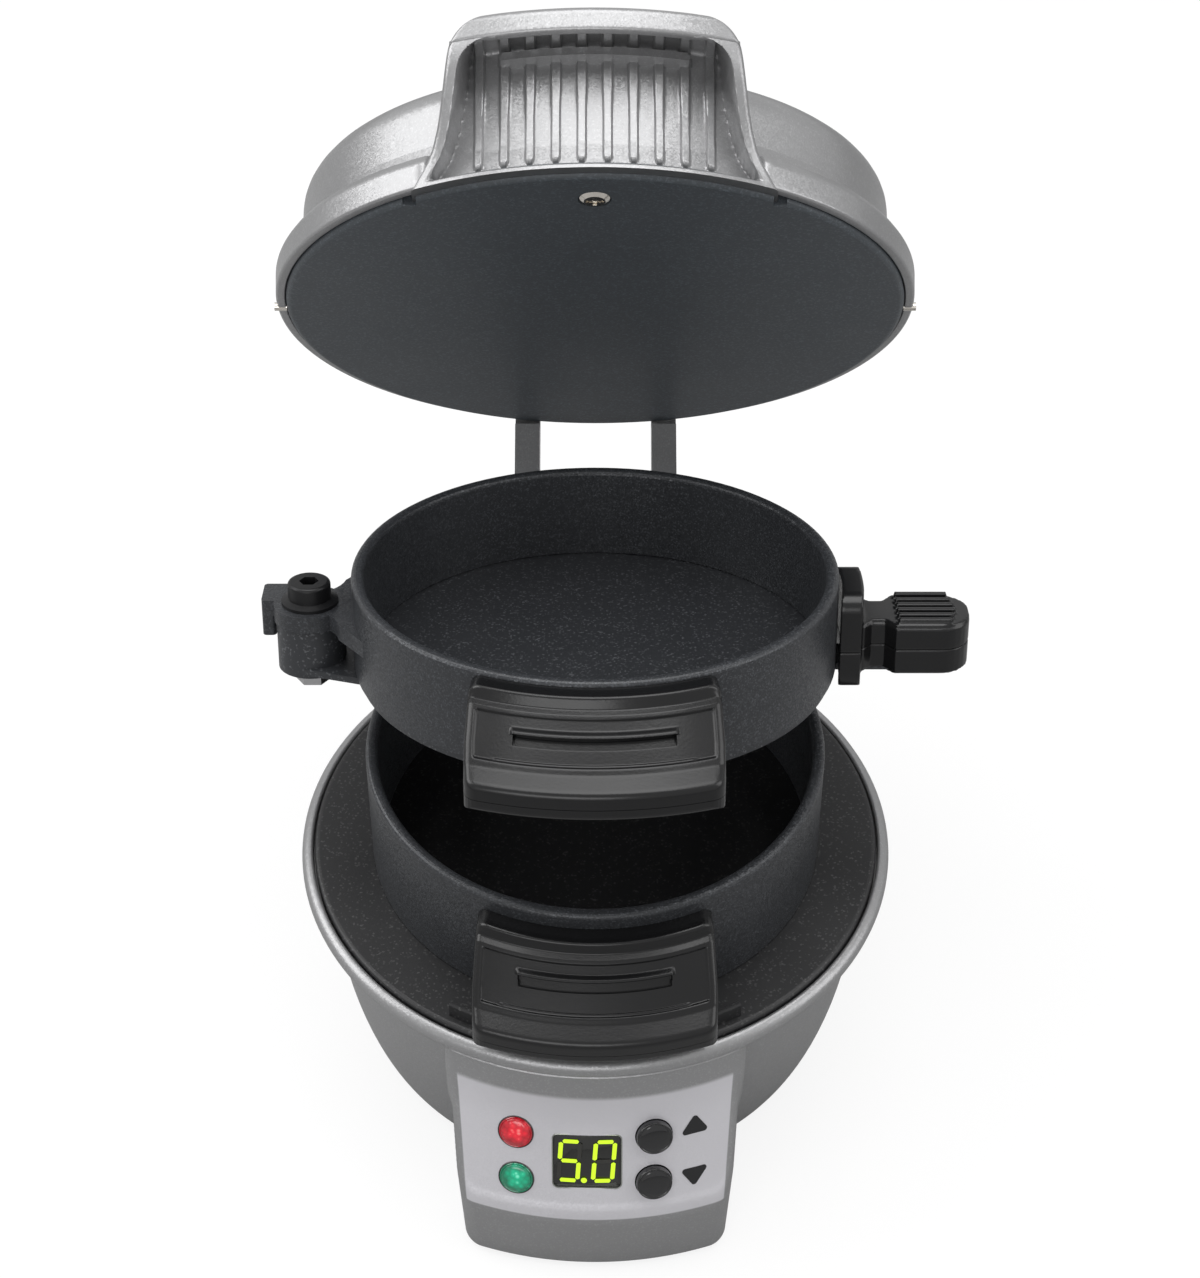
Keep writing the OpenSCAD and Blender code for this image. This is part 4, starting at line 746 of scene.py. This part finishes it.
def handle_top(name, r0, foot, body, replaces, slot_at, line_at):
    """One ring handle. The slot and the fine line lie slot_at and line_at mm down its slope."""
    corners, chain = handle_outline(r0)
    steps = np.linalg.norm(np.diff(chain, axis=0), axis=1)
    # Finer rows where the slot's edges cross the slope
    start, end = np.array(corners[3]), np.array(corners[4])
    slope = (end - start) / np.linalg.norm(end - start)
    marks = [slot_at + d for d in (-1.7, -0.4, 0, 0.15, 2.2, 2.45)]
    marks += [line_at + d for d in (-0.5, -0.2, 0.2, 0.5)] + [0.8, 1.3]
    fine = []
    for m in marks:
        fine += [m - 0.12, m, m + 0.12]
    along = np.concatenate([[0], np.cumsum(steps)])
    first = along[np.argmin(np.linalg.norm(chain - start, axis=1))]
    places = np.concatenate([along, first + np.array(fine)])
    places = np.unique(np.round(places, 3))
    line = np.stack([np.interp(places, along, chain[:, 0]), np.interp(places, along, chain[:, 1])], 1)
    tangent = np.gradient(line, axis=0)
    tangent /= np.linalg.norm(tangent, axis=1)[:, None]
    normal = np.stack([-tangent[:, 1], tangent[:, 0]], 1)
    u = (line - start) @ slope
    # Columns: dense over the slot's ends, the frame and the rounded edges
    centre = HANDLE_HALF - 1.3
    inner = spread([(0, 16.6, 1.0), (16.6, 18.9, 0.14), (18.9, 23.4, 0.6), (23.4, 25.8, 0.2),
                    (25.8, centre, 0.2)]) / centre
    arcs = np.radians(np.linspace(0, 90, 8))[1:]
    columns = [(f, 0.0) for f in inner] + [(1.0, t) for t in arcs]
    columns = [(f, -t, -1) for f, t in columns[:0:-1]] + [(f, t, 1) for f, t in columns]
    ridge = 1 - smoothstep(r0 + 4.6, r0 + 5.6, line[:, 0])
    rho = 1.3 + 1.5 * ridge
    rows = []
    cy = math.sqrt((HANDLE_R - CORNER) ** 2 - (HANDLE_HALF - CORNER) ** 2)
    turn_x = HANDLE_R * (HANDLE_HALF - CORNER) / (HANDLE_R - CORNER)
    for i, (r, z) in enumerate(line):
        row = []
        for f, t, side in columns:
            half = HANDLE_HALF - 3.0 * np.clip((cy - r) / (cy - 35), 0, 1)
            x = (half - rho[i]) * f + (rho[i] * math.sin(abs(t)) if f == 1.0 else 0)
            drop = rho[i] * (1 - math.cos(abs(t)))
            # Sunk panel between the side frames, soft at its edges
            edge = half - 2.1 - x
            low = 1 - smoothstep(corners[4][0] - 1.6, corners[4][0] - 1.0, r)
            sunk = SUNK * smoothstep(-0.3, 0.35, edge) * smoothstep(0.7, 1.3, u[i]) * low
            # Louvre: a raised brow over a slot
            across = 1 - smoothstep(17.4, 18.3, x)
            brow = BROW * smoothstep(slot_at - 1.9, slot_at - 0.3, u[i]) * (u[i] < slot_at + 0.02)
            slot = smoothstep(slot_at + 0.02, slot_at + 0.16, u[i])
            slot *= (1 - smoothstep(slot_at + 2.2, slot_at + 2.5, u[i])) * (1 - smoothstep(17.25, 17.5, x))
            ridge_line = LINE_HEIGHT * (1 - smoothstep(0.1, 0.42, abs(u[i] - line_at)))
            ridge_line *= 1 - smoothstep(21.2, 21.8, x)
            push = -sunk + brow * across - SLOT_DEPTH * slot + ridge_line * (sunk > 0.3)
            rr = r + normal[i, 0] * push
            zz = z + normal[i, 1] * push - drop
            limit = HANDLE_R
            if x > turn_x:
                limit = math.hypot(x, cy + math.sqrt(max(0.0, CORNER ** 2 - (x - HANDLE_HALF + CORNER) ** 2)))
            if rr > 72:
                rr = 72 + (rr - 72) * (limit - 72) / (HANDLE_R - 72)
            row.append((side * x, -math.sqrt(max(0.0, rr * rr - x * x)), foot + max(zz, 3.2)))
        rows.append(row)
    bm = sheet(np.array(rows))
    edges = [e for e in bm.edges if e.is_boundary]
    out = bmesh.ops.extrude_edge_only(bm, edges=edges)
    for v in out["geom"]:
        if isinstance(v, bmesh.types.BMVert):
            v.co.z = foot + 3.12
    bmesh.ops.holes_fill(bm, edges=[e for e in bm.edges if e.is_boundary], sides=0)
    return emit(name, bm, body, HANDLE, replaces, sharp=38)


handle_top("lower_handle_grip", 55.0, LOW_RING_Z + 6.2, "lower_ring", ["lower_handle_top"], 4.9, 12.2)
handle_top("upper_handle_grip", 56.5, TOP_RING_Z, "upper_ring", ["upper_handle_top"], 5.1, 11.1)


# Lid shell: one turned outline, with its skirt cut away where the handle's pocket stands

SKIRT_R = 76.0
DOME_R = 69.9
RIM_UP = 1.3
CROWN_R = 52.0
CROWN_Z = 30.8
POCKET_ANGLES = (27.4, 29.6)


def lid_shell():
    corners = [(SKIRT_R - 2.6, 9.0), (SKIRT_R - 2.4, RIM_UP), (SKIRT_R - 0.2, RIM_UP), (SKIRT_R, 7.2),
               (SKIRT_R - 1.4, 9.3), (DOME_R + 0.5, 10.6), (DOME_R, 14.0), (DOME_R, 29.9), (CROWN_R, CROWN_Z)]
    chain = rounded(corners, [0, 0.4, 0.7, 2.4, 0.9, 1.6, 2.0, 7.4, 0], steps=8)
    crown = [(r, CROWN_Z + 1 - (r / CROWN_R) ** 2) for r in np.linspace(CROWN_R - 1, 0.05, 16)]
    outer = np.concatenate([resample(chain, 1.2), crown])
    inner = [(0.05, 29.6), (60.0, 28.2), (66.5, 25.5), (67.8, 22.0), (67.8, 11.0), (SKIRT_R - 2.6, 9.0)]
    outline = np.concatenate([outer, resample(np.array(inner), 4.0)])
    half = spread([(0, POCKET_ANGLES[0], 1.4), (*POCKET_ANGLES, 0.4), (POCKET_ANGLES[1], 180, 1.6)])
    angles = np.radians(np.concatenate([half, 360 - half[-2::-1]]))
    away = np.abs((np.degrees(angles) + 180) % 360 - 180)
    cut_in = 1 - smoothstep(*POCKET_ANGLES, away)
    rows = []
    for r, z in outline:
        radius = r - np.maximum(r - DOME_R - 0.7, 0) * cut_in
        height = np.full(len(angles), LID_Z + z)
        rows.append(np.stack([radius * np.sin(angles), -radius * np.cos(angles), height], 1))
    grid = np.array(rows)
    grid[:, -1] = grid[:, 0]
    return sheet(grid, closed=True)


emit("lid_dome", lid_shell(), "lid", PAINT, ["lid_shell"], sharp=60)


# Lid handle: a canopy over a ribbed pocket that follows the round of the lid

# Radii are from the lid's axis, heights above the heated plate's face
RIB_AT = 5.6 * (np.arange(10) - 4.5)
RIB_HEIGHT = 1.3
RIB_END = 5.0
RIBS_TO = 27.4
BAR_Z = 29.6
BAR_HALF = 19.8
BAR_HEIGHT = 3.0
CANOPY_TOP = 34.4
LIP_LOW = 28.6
LIP_R = 85.4
FRONT_LOW_R = 76.3
POCKET_WALL = 71.4
SIDE_FRAME = 2.5
OPENING_CORNER = 6.0
TOP_CORNER = (9.5, 8.2)
SOFT_EDGE = 1.0
# Distance between rows, which keeps the piece under 200,000 triangles
CANOPY_STEP = 0.36


def canopy_half(z):
    """Half the handle's width at a height above the plate: a flare at its foot, round corners at its top."""
    straight = np.interp(z, [0.8, 2.0, 3.6, 6.0, 8.5, 12.0, 15.1, 20.0, 27.0],
                         [40.0, 39.2, 38.2, 36.6, 35.3, 34.2, 33.5, 32.7, 31.7])
    into = max(0.0, z - (CANOPY_TOP - TOP_CORNER[1])) / TOP_CORNER[1]
    return straight - TOP_CORNER[0] * (1 - math.sqrt(max(0.0, 1 - into ** 2)))


def canopy():
    """Rows run up the pocket, along its ceiling, round the lip and back over the top; columns run across.

    Each row has a point on the pocket's outline and one on the side frames' front, and every column lies
    on one of the two or, at the pocket's edge, between them."""
    corners = [(FRONT_LOW_R, 1.0), (76.2, 2.0), (72.6, 3.3), (POCKET_WALL, 9.0), (POCKET_WALL, 32.8),
               (82.7, 32.8), (83.2, LIP_LOW), (LIP_R, LIP_LOW), (85.9, CANOPY_TOP), (62.0, 33.6), (54.0, 31.0)]
    chain = resample(rounded(corners, [0, 0.5, 1.2, 4.0, 1.2, 1.0, 0.7, 0.9, 1.6, 3.0, 0], steps=6), CANOPY_STEP)
    along = np.concatenate([[0], np.cumsum(np.linalg.norm(np.diff(chain, axis=0), axis=1))])
    tangent = np.gradient(chain, axis=0)
    tangent /= np.linalg.norm(tangent, axis=1)[:, None]
    normal = np.stack([tangent[:, 1], -tangent[:, 0]], 1)
    lip = int(np.argmin(np.hypot(chain[:, 0] - 85.2, chain[:, 1] - LIP_LOW)))
    crest = int(np.argmin(np.hypot(chain[:, 0] - 85.0, chain[:, 1] - CANOPY_TOP)))
    wall = int(np.argmax(chain[:lip, 1] > 24.0))
    level = chain[:, 1].copy()
    level[wall:lip] = 24.0 + (LIP_LOW - 24.0) * (along[wall:lip] - along[wall]) / (along[lip] - along[wall])
    front = chain.copy()
    t = np.clip((level[:lip] - 1.0) / (LIP_LOW - 1.0), 0, 1)
    front[:lip, 0] = FRONT_LOW_R + 4.6 * (1 - np.cos(math.pi * t ** 1.15))
    front[:lip, 1] = level[:lip]
    rise = np.gradient(front, axis=0)
    rise /= np.linalg.norm(rise, axis=1)[:, None]
    front_normal = np.stack([rise[:, 1], -rise[:, 0]], 1)
    # Columns: close together at the rib's edges, then over the side frame and round its outer edge
    beside = (0.3, 0.55, 0.7, 0.85, 1.0, 1.15, 1.35, 1.7)
    fine = [rib + side * d for rib in RIB_AT[5:] for side in (-1, 1) for d in beside]
    inner = np.unique(np.round(np.concatenate([[0.0], fine, [RIBS_TO]]), 3))
    outer = spread([(0, 0.5, 0.07), (0.5, 1.0, 0.035)])[1:]
    arcs = np.radians(np.linspace(0, 90, 7))[1:]
    base = [(x, 0.0, 0.0) for x in inner] + [(RIBS_TO, f, 0.0) for f in outer]
    base += [(RIBS_TO, 1.0, a) for a in arcs]
    columns = [(-1, *c) for c in base[:0:-1]] + [(1, *c) for c in base]
    rows = []
    for i in range(len(chain)):
        width = float(canopy_half(level[i] if i < crest else CANOPY_TOP))
        into = max(0.0, OPENING_CORNER - (LIP_LOW - level[i])) if i < lip else OPENING_CORNER
        drawn_in = OPENING_CORNER - math.sqrt(max(0.0, OPENING_CORNER ** 2 - into ** 2))
        opening = width - SIDE_FRAME - drawn_in
        squeeze = min(1.0, (width - 2 * SOFT_EDGE) / RIBS_TO) if i >= lip else 1.0
        row = []
        for side, x0, f, a in columns:
            x0 = x0 * squeeze
            x = x0 + (width - SOFT_EDGE - x0) * f + SOFT_EDGE * math.sin(a)
            deep = float(smoothstep(0.0, 1.7, opening - x)) if i < lip else 1.0
            point = front[i] + deep * (chain[i] - front[i])
            if i < lip:
                z = chain[i, 1]
                wide = 0.72 + 0.25 * min(1.0, z / 30)
                end = max(0.0, RIB_END - z) if chain[i, 0] < 78 else 0.0
                near = math.hypot(float(np.min(np.abs(RIB_AT - x))), end)
                fade = 1 - float(smoothstep(78.0, 81.0, chain[i, 0]))
                rib = RIB_HEIGHT * (1 - float(smoothstep(wide - 0.1, wide + 0.34, near)))
                rib *= fade * (x < RIBS_TO - 1)
                bar_at = math.hypot(max(0.0, x - BAR_HALF), z - BAR_Z) if chain[i, 0] < 74 else 9.0
                bar = BAR_HEIGHT * (1 - float(smoothstep(1.1, 1.4, bar_at)))
                point = point + normal[i] * max(rib, bar) * deep
            point = point - (front_normal if i < lip else normal)[i] * SOFT_EDGE * (1 - math.cos(a))
            row.append((side * x, -math.sqrt(point[0] ** 2 - x * x), LID_Z + point[1]))
        rows.append(row)
    grid = np.array(rows)
    parts = [sheet(grid)]
    # Side walls: the front edge's rows carried back along the slope of the top
    for edge in (grid[:, 0], grid[:, -1]):
        top = edge[crest:]
        share = (top[:, 1] - top[0, 1]) / (top[-1, 1] - top[0, 1])
        drop = top[:, 2] - top[0, 2]
        wall_rows = []
        for x, y, z in edge[:crest + 1]:
            height = (z - LID_Z) / (top[0, 2] - LID_Z)
            wall_rows.append([(x, y + k * (top[-1, 1] - y), z + d * height) for k, d in zip(share, drop)])
        last = np.array(wall_rows)
        last[-1] = top
        parts.append(sheet(last))
    bm = joined(parts)
    bmesh.ops.remove_doubles(bm, verts=bm.verts, dist=2e-3)
    bmesh.ops.holes_fill(bm, edges=[e for e in bm.edges if e.is_boundary], sides=0)
    return bm


emit("lid_canopy", canopy(), "lid", PAINT, ["lid_handle"], sharp=50)


FRAME_DEEP = 1.2


def trimmed_frame():
    """The board's frame, pushed back to stay behind the curved panel."""
    mesh = nodes["board_frame"].data
    bm = bmesh.new()
    bm.from_mesh(mesh)
    bmesh.ops.remove_doubles(bm, verts=bm.verts, dist=1e-6)
    bm.transform(Matrix.Scale(1 / MM, 4))
    back = Vector((0, math.cos(PANEL_TILT), -math.sin(PANEL_TILT)))
    for v in bm.verts:
        flat = math.hypot(v.co.x, v.co.y) + PANEL_Y
        outside = flat * math.cos(PANEL_TILT) + (v.co.z - PANEL_Z) * math.sin(PANEL_TILT) + FRAME_DEEP
        if outside > 0:
            v.co += back * outside * 1.05
    return bm


emit("board_rails", trimmed_frame(), "base", DARK, ["board_frame"])

soften("egg_grip_upper", "egg_handle_top", "egg_plate", HANDLE, 0.3, 3)
soften("egg_grip_lower", "egg_handle_underside", "egg_plate", HANDLE, 0.3, 3)


# Control panel: lenses, keys, display and printed arrows

def panel_turn(outline, x, y, z=0.0, steps=64):
    return place_on_panel(revolve(outline, steps), x, y, z)


def lens_piece(name, y, material, node_name):
    dome = [(4.02, -3.0), (4.02, 0.25), (3.9, 0.42), (3.72, 0.38), (3.62, 0.3)]
    dome += [(3.62 * math.cos(t), 0.3 + 0.85 * math.sin(t)) for t in np.radians(np.linspace(8, 90, 12))]
    dome[-1] = (0.0, dome[-1][1])
    emit(name, panel_turn(dome, LENS_X, y), "base", material, [node_name], sharp=30)
    ring = [(4.35, -0.3), (4.35, 0.1), (4.28, 0.2), (4.16, 0.22), (4.06, 0.12), (4.04, -0.3)]
    emit(name + "_rim", panel_turn(ring, LENS_X, y), "base", RIM_DARK)


def key_piece(name, y, body, node_name):
    cap = [(4.25, -3.0), (4.25, 1.25), (4.17, 1.5), (4.0, 1.6), (3.85, 1.52), (3.75, 1.38), (3.6, 1.34)]
    cap += [(3.45 * math.cos(t), 1.32 + 0.4 * math.sin(t)) for t in np.radians(np.linspace(12, 90, 10))]
    cap[-1] = (0.0, cap[-1][1])
    emit(name, panel_turn(cap, KEY_X, y), body, GLOSS, [node_name], sharp=60)


RIM_DARK = finish_material("lens_rim", (0.10, 0.09, 0.09), 0.25, metallic=0.6)
RIM_LIGHT = finish_material("window_frame", (0.35, 0.36, 0.34), 0.25, metallic=0.8)
lens_piece("power_lamp", ROW, RED, "power_lens")
lens_piece("preheat_lamp", -ROW, GREEN, "preheat_lens")
key_piece("key_up_cap", ROW, "key_up", "key_up")
key_piece("key_down_cap", -ROW, "key_down", "key_down")

WINDOW_BLACK = finish_material("display_black", (0.012, 0.012, 0.010), 0.12, coat=0.5, coat_rough=0.04)
UNLIT = finish_material("segment_unlit", (0.035, 0.034, 0.030), 0.3)
PRINT = finish_material("printed_black", (0.010, 0.010, 0.011), 0.45)
LIT = bpy.data.materials.new("segment_lit")
LIT.use_nodes = True
shader = LIT.node_tree.nodes["Principled BSDF"]
shader.inputs["Base Color"].default_value = (0.45, 0.62, 0.02, 1)
shader.inputs["Emission Color"].default_value = (0.56, 0.86, 0.02, 1)
shader.inputs["Emission Strength"].default_value = 0.75

window = wrap_on_panel(slab(box_outline(15.9, 14.3, 1.15), [(-2.0, 0), (-0.35, 0), (-0.3, 0.06)]), WINDOW_X)
emit("window_glass", window, "base", WINDOW_BLACK, ["display_window"])
frame_line = np.array(box_outline(15.96, 14.36, 1.18, 6))
section = [(0.0, -0.5), (0.0, 0.12), (0.12, 0.2), (0.26, 0.14), (0.3, 0.0), (0.3, -0.5)]


def frame_of(outline, section):
    """A moulding that runs round a closed outline: section points are (how far out, height)."""
    ahead, behind = np.roll(outline, -1, 0), np.roll(outline, 1, 0)
    along = ahead - behind
    normal = np.stack([along[:, 1], -along[:, 0]], 1)
    normal /= np.linalg.norm(normal, axis=1)[:, None]
    rows = [np.concatenate([outline + normal * d, np.full((len(outline), 1), z)], 1) for d, z in section]
    grid = np.array(rows)
    return sheet(np.concatenate([grid, grid[:, :1]], 1), closed=True)


emit("window_rim", wrap_on_panel(frame_of(frame_line, section), WINDOW_X), "base", RIM_LIGHT)

SLANT = 0.07
HALF_W = 2.25
HALF_H = 5.3
BAR = 0.52


def segment(a, b, cx, lit_z):
    """One bar of a digit between two corners, with pointed ends."""
    a, b = np.array(a, float), np.array(b, float)
    along = (b - a) / np.linalg.norm(b - a)
    side = np.array([-along[1], along[0]])
    a, b = a + along * 0.62, b - along * 0.62
    tip = along * BAR
    outline = [a - tip * 0.6, a - side * BAR, b - side * BAR, b + tip * 0.6, b + side * BAR, a + side * BAR]
    outline = [(x + SLANT * y + cx, y) for x, y in outline]
    return wrap_on_panel(slab(outline, [(-0.32, 0), (lit_z, 0.03)]), WINDOW_X)


CORNERS = {"tl": (-HALF_W, HALF_H), "tr": (HALF_W, HALF_H), "ml": (-HALF_W, 0), "mr": (HALF_W, 0),
           "bl": (-HALF_W, -HALF_H), "br": (HALF_W, -HALF_H)}
BARS = [("tl", "tr"), ("tl", "ml"), ("ml", "mr"), ("mr", "br"), ("bl", "br"), ("tr", "mr"), ("ml", "bl")]
DIGITS = {-4.2: [0, 1, 2, 3, 4], 4.0: [0, 1, 3, 4, 5, 6]}
lit, unlit = [], []
for cx, on in DIGITS.items():
    for i, (a, b) in enumerate(BARS):
        target = lit if i in on else unlit
        target.append(segment(CORNERS[a], CORNERS[b], cx, -0.26 if i in on else -0.28))
lit.append(wrap_on_panel(slab(disc_outline(0.72, 24) + (-0.75, -5.2), [(-0.32, 0), (-0.26, 0.03)]), WINDOW_X))
emit("digits_lit", joined(lit), "base", LIT)
emit("digits_unlit", joined(unlit), "base", UNLIT)

triangle = rounded([(-3.5, -2.5), (3.5, -2.5), (0.0, 2.7)], 0.7, 5, closed=True)
ARROW_X = 23.4
arrows = []
for s in (1, -1):
    outline = [(x, s * y) for x, y in (triangle if s > 0 else triangle[::-1])]
    arrows.append(wrap_on_panel(slab(outline, [(-0.3, 0), (0.12, 0)]), ARROW_X, s * (ROW + 0.9)))
emit("printed_arrows", joined(arrows), "base", PRINT)


# Camera, floor and light

CAMERA_AT = (0.00114, -0.46825, 0.58491)
CAMERA_DOWN = 44.28
LENS = 79.66
camera_data = bpy.data.cameras.new("camera")
camera_data.lens = LENS
camera_data.sensor_width = 36.0
camera_data.clip_start = 0.01
camera = bpy.data.objects.new("camera", camera_data)
camera.location = CAMERA_AT
camera.rotation_euler = (math.radians(90 - CAMERA_DOWN), 0, 0)
scene.collection.objects.link(camera)
scene.camera = camera


def area_light(name, at, towards, size, power, colour=(1, 1, 1)):
    data = bpy.data.lights.new(name, "AREA")
    data.shape = "RECTANGLE"
    data.size = size[0]
    data.size_y = size[1]
    data.energy = power
    data.color = colour
    lamp = bpy.data.objects.new(name, data)
    lamp.location = at
    lamp.rotation_euler = (Vector(towards) - Vector(at)).to_track_quat("-Z", "Y").to_euler()
    scene.collection.objects.link(lamp)
    return lamp


MIDDLE = (0, 0, 0.12)
area_light("key_left", (-0.85, 0.2, 0.7), MIDDLE, (0.7, 0.7), 4.8)
area_light("front_soft", (-0.3, -1.25, 0.75), MIDDLE, (1.0, 0.5), 4.2)
area_light("fill_right", (0.9, -0.1, 0.6), MIDDLE, (0.5, 0.8), 2.5)
area_light("top", (0, 0.1, 1.1), MIDDLE, (0.9, 0.7), 6.3)

GLOSS_LEVEL = 0.6
AMBIENT = 0.4
world = bpy.data.worlds.new("studio")
scene.world = world
world.use_nodes = True
tree = world.node_tree
back = tree.nodes["Background"]
back.inputs["Color"].default_value = (1, 1, 1, 1)
path = tree.nodes.new("ShaderNodeLightPath")
seen = math_node(tree, "MAXIMUM", path.outputs["Is Camera Ray"], path.outputs["Is Transmission Ray"])
shiny = math_node(tree, "MULTIPLY", path.outputs["Is Glossy Ray"], GLOSS_LEVEL)
level = math_node(tree, "MAXIMUM", seen, shiny)
level = math_node(tree, "MAXIMUM", level, AMBIENT)
tree.links.new(level, back.inputs["Strength"])

# A grey floor that takes the shadow, with a glow laid over it for the camera alone
FLOOR_GREY = 0.4
FLOOR_GLOW = 1.45
GLOW_SHARE = 0.58
floor_mesh = bpy.data.meshes.new("floor")
bm = bmesh.new()
bmesh.ops.create_grid(bm, x_segments=2, y_segments=2, size=3.0)
bm.to_mesh(floor_mesh)
bm.free()
floor = bpy.data.objects.new("floor", floor_mesh)
scene.collection.objects.link(floor)
floor_mat = bpy.data.materials.new("floor_white")
floor_mat.use_nodes = True
tree = floor_mat.node_tree
tree.nodes.remove(tree.nodes["Principled BSDF"])
diffuse = tree.nodes.new("ShaderNodeBsdfDiffuse")
diffuse.inputs["Color"].default_value = (FLOOR_GREY, FLOOR_GREY, FLOOR_GREY, 1)
glow = tree.nodes.new("ShaderNodeEmission")
glow.inputs["Strength"].default_value = FLOOR_GLOW
blend = tree.nodes.new("ShaderNodeMixShader")
path = tree.nodes.new("ShaderNodeLightPath")
tree.links.new(math_node(tree, "MULTIPLY", path.outputs["Is Camera Ray"], GLOW_SHARE), blend.inputs[0])
tree.links.new(diffuse.outputs[0], blend.inputs[1])
tree.links.new(glow.outputs[0], blend.inputs[2])
tree.links.new(blend.outputs[0], tree.nodes["Material Output"].inputs[0])
floor_mesh.materials.append(floor_mat)

scene.view_settings.view_transform = "Standard"
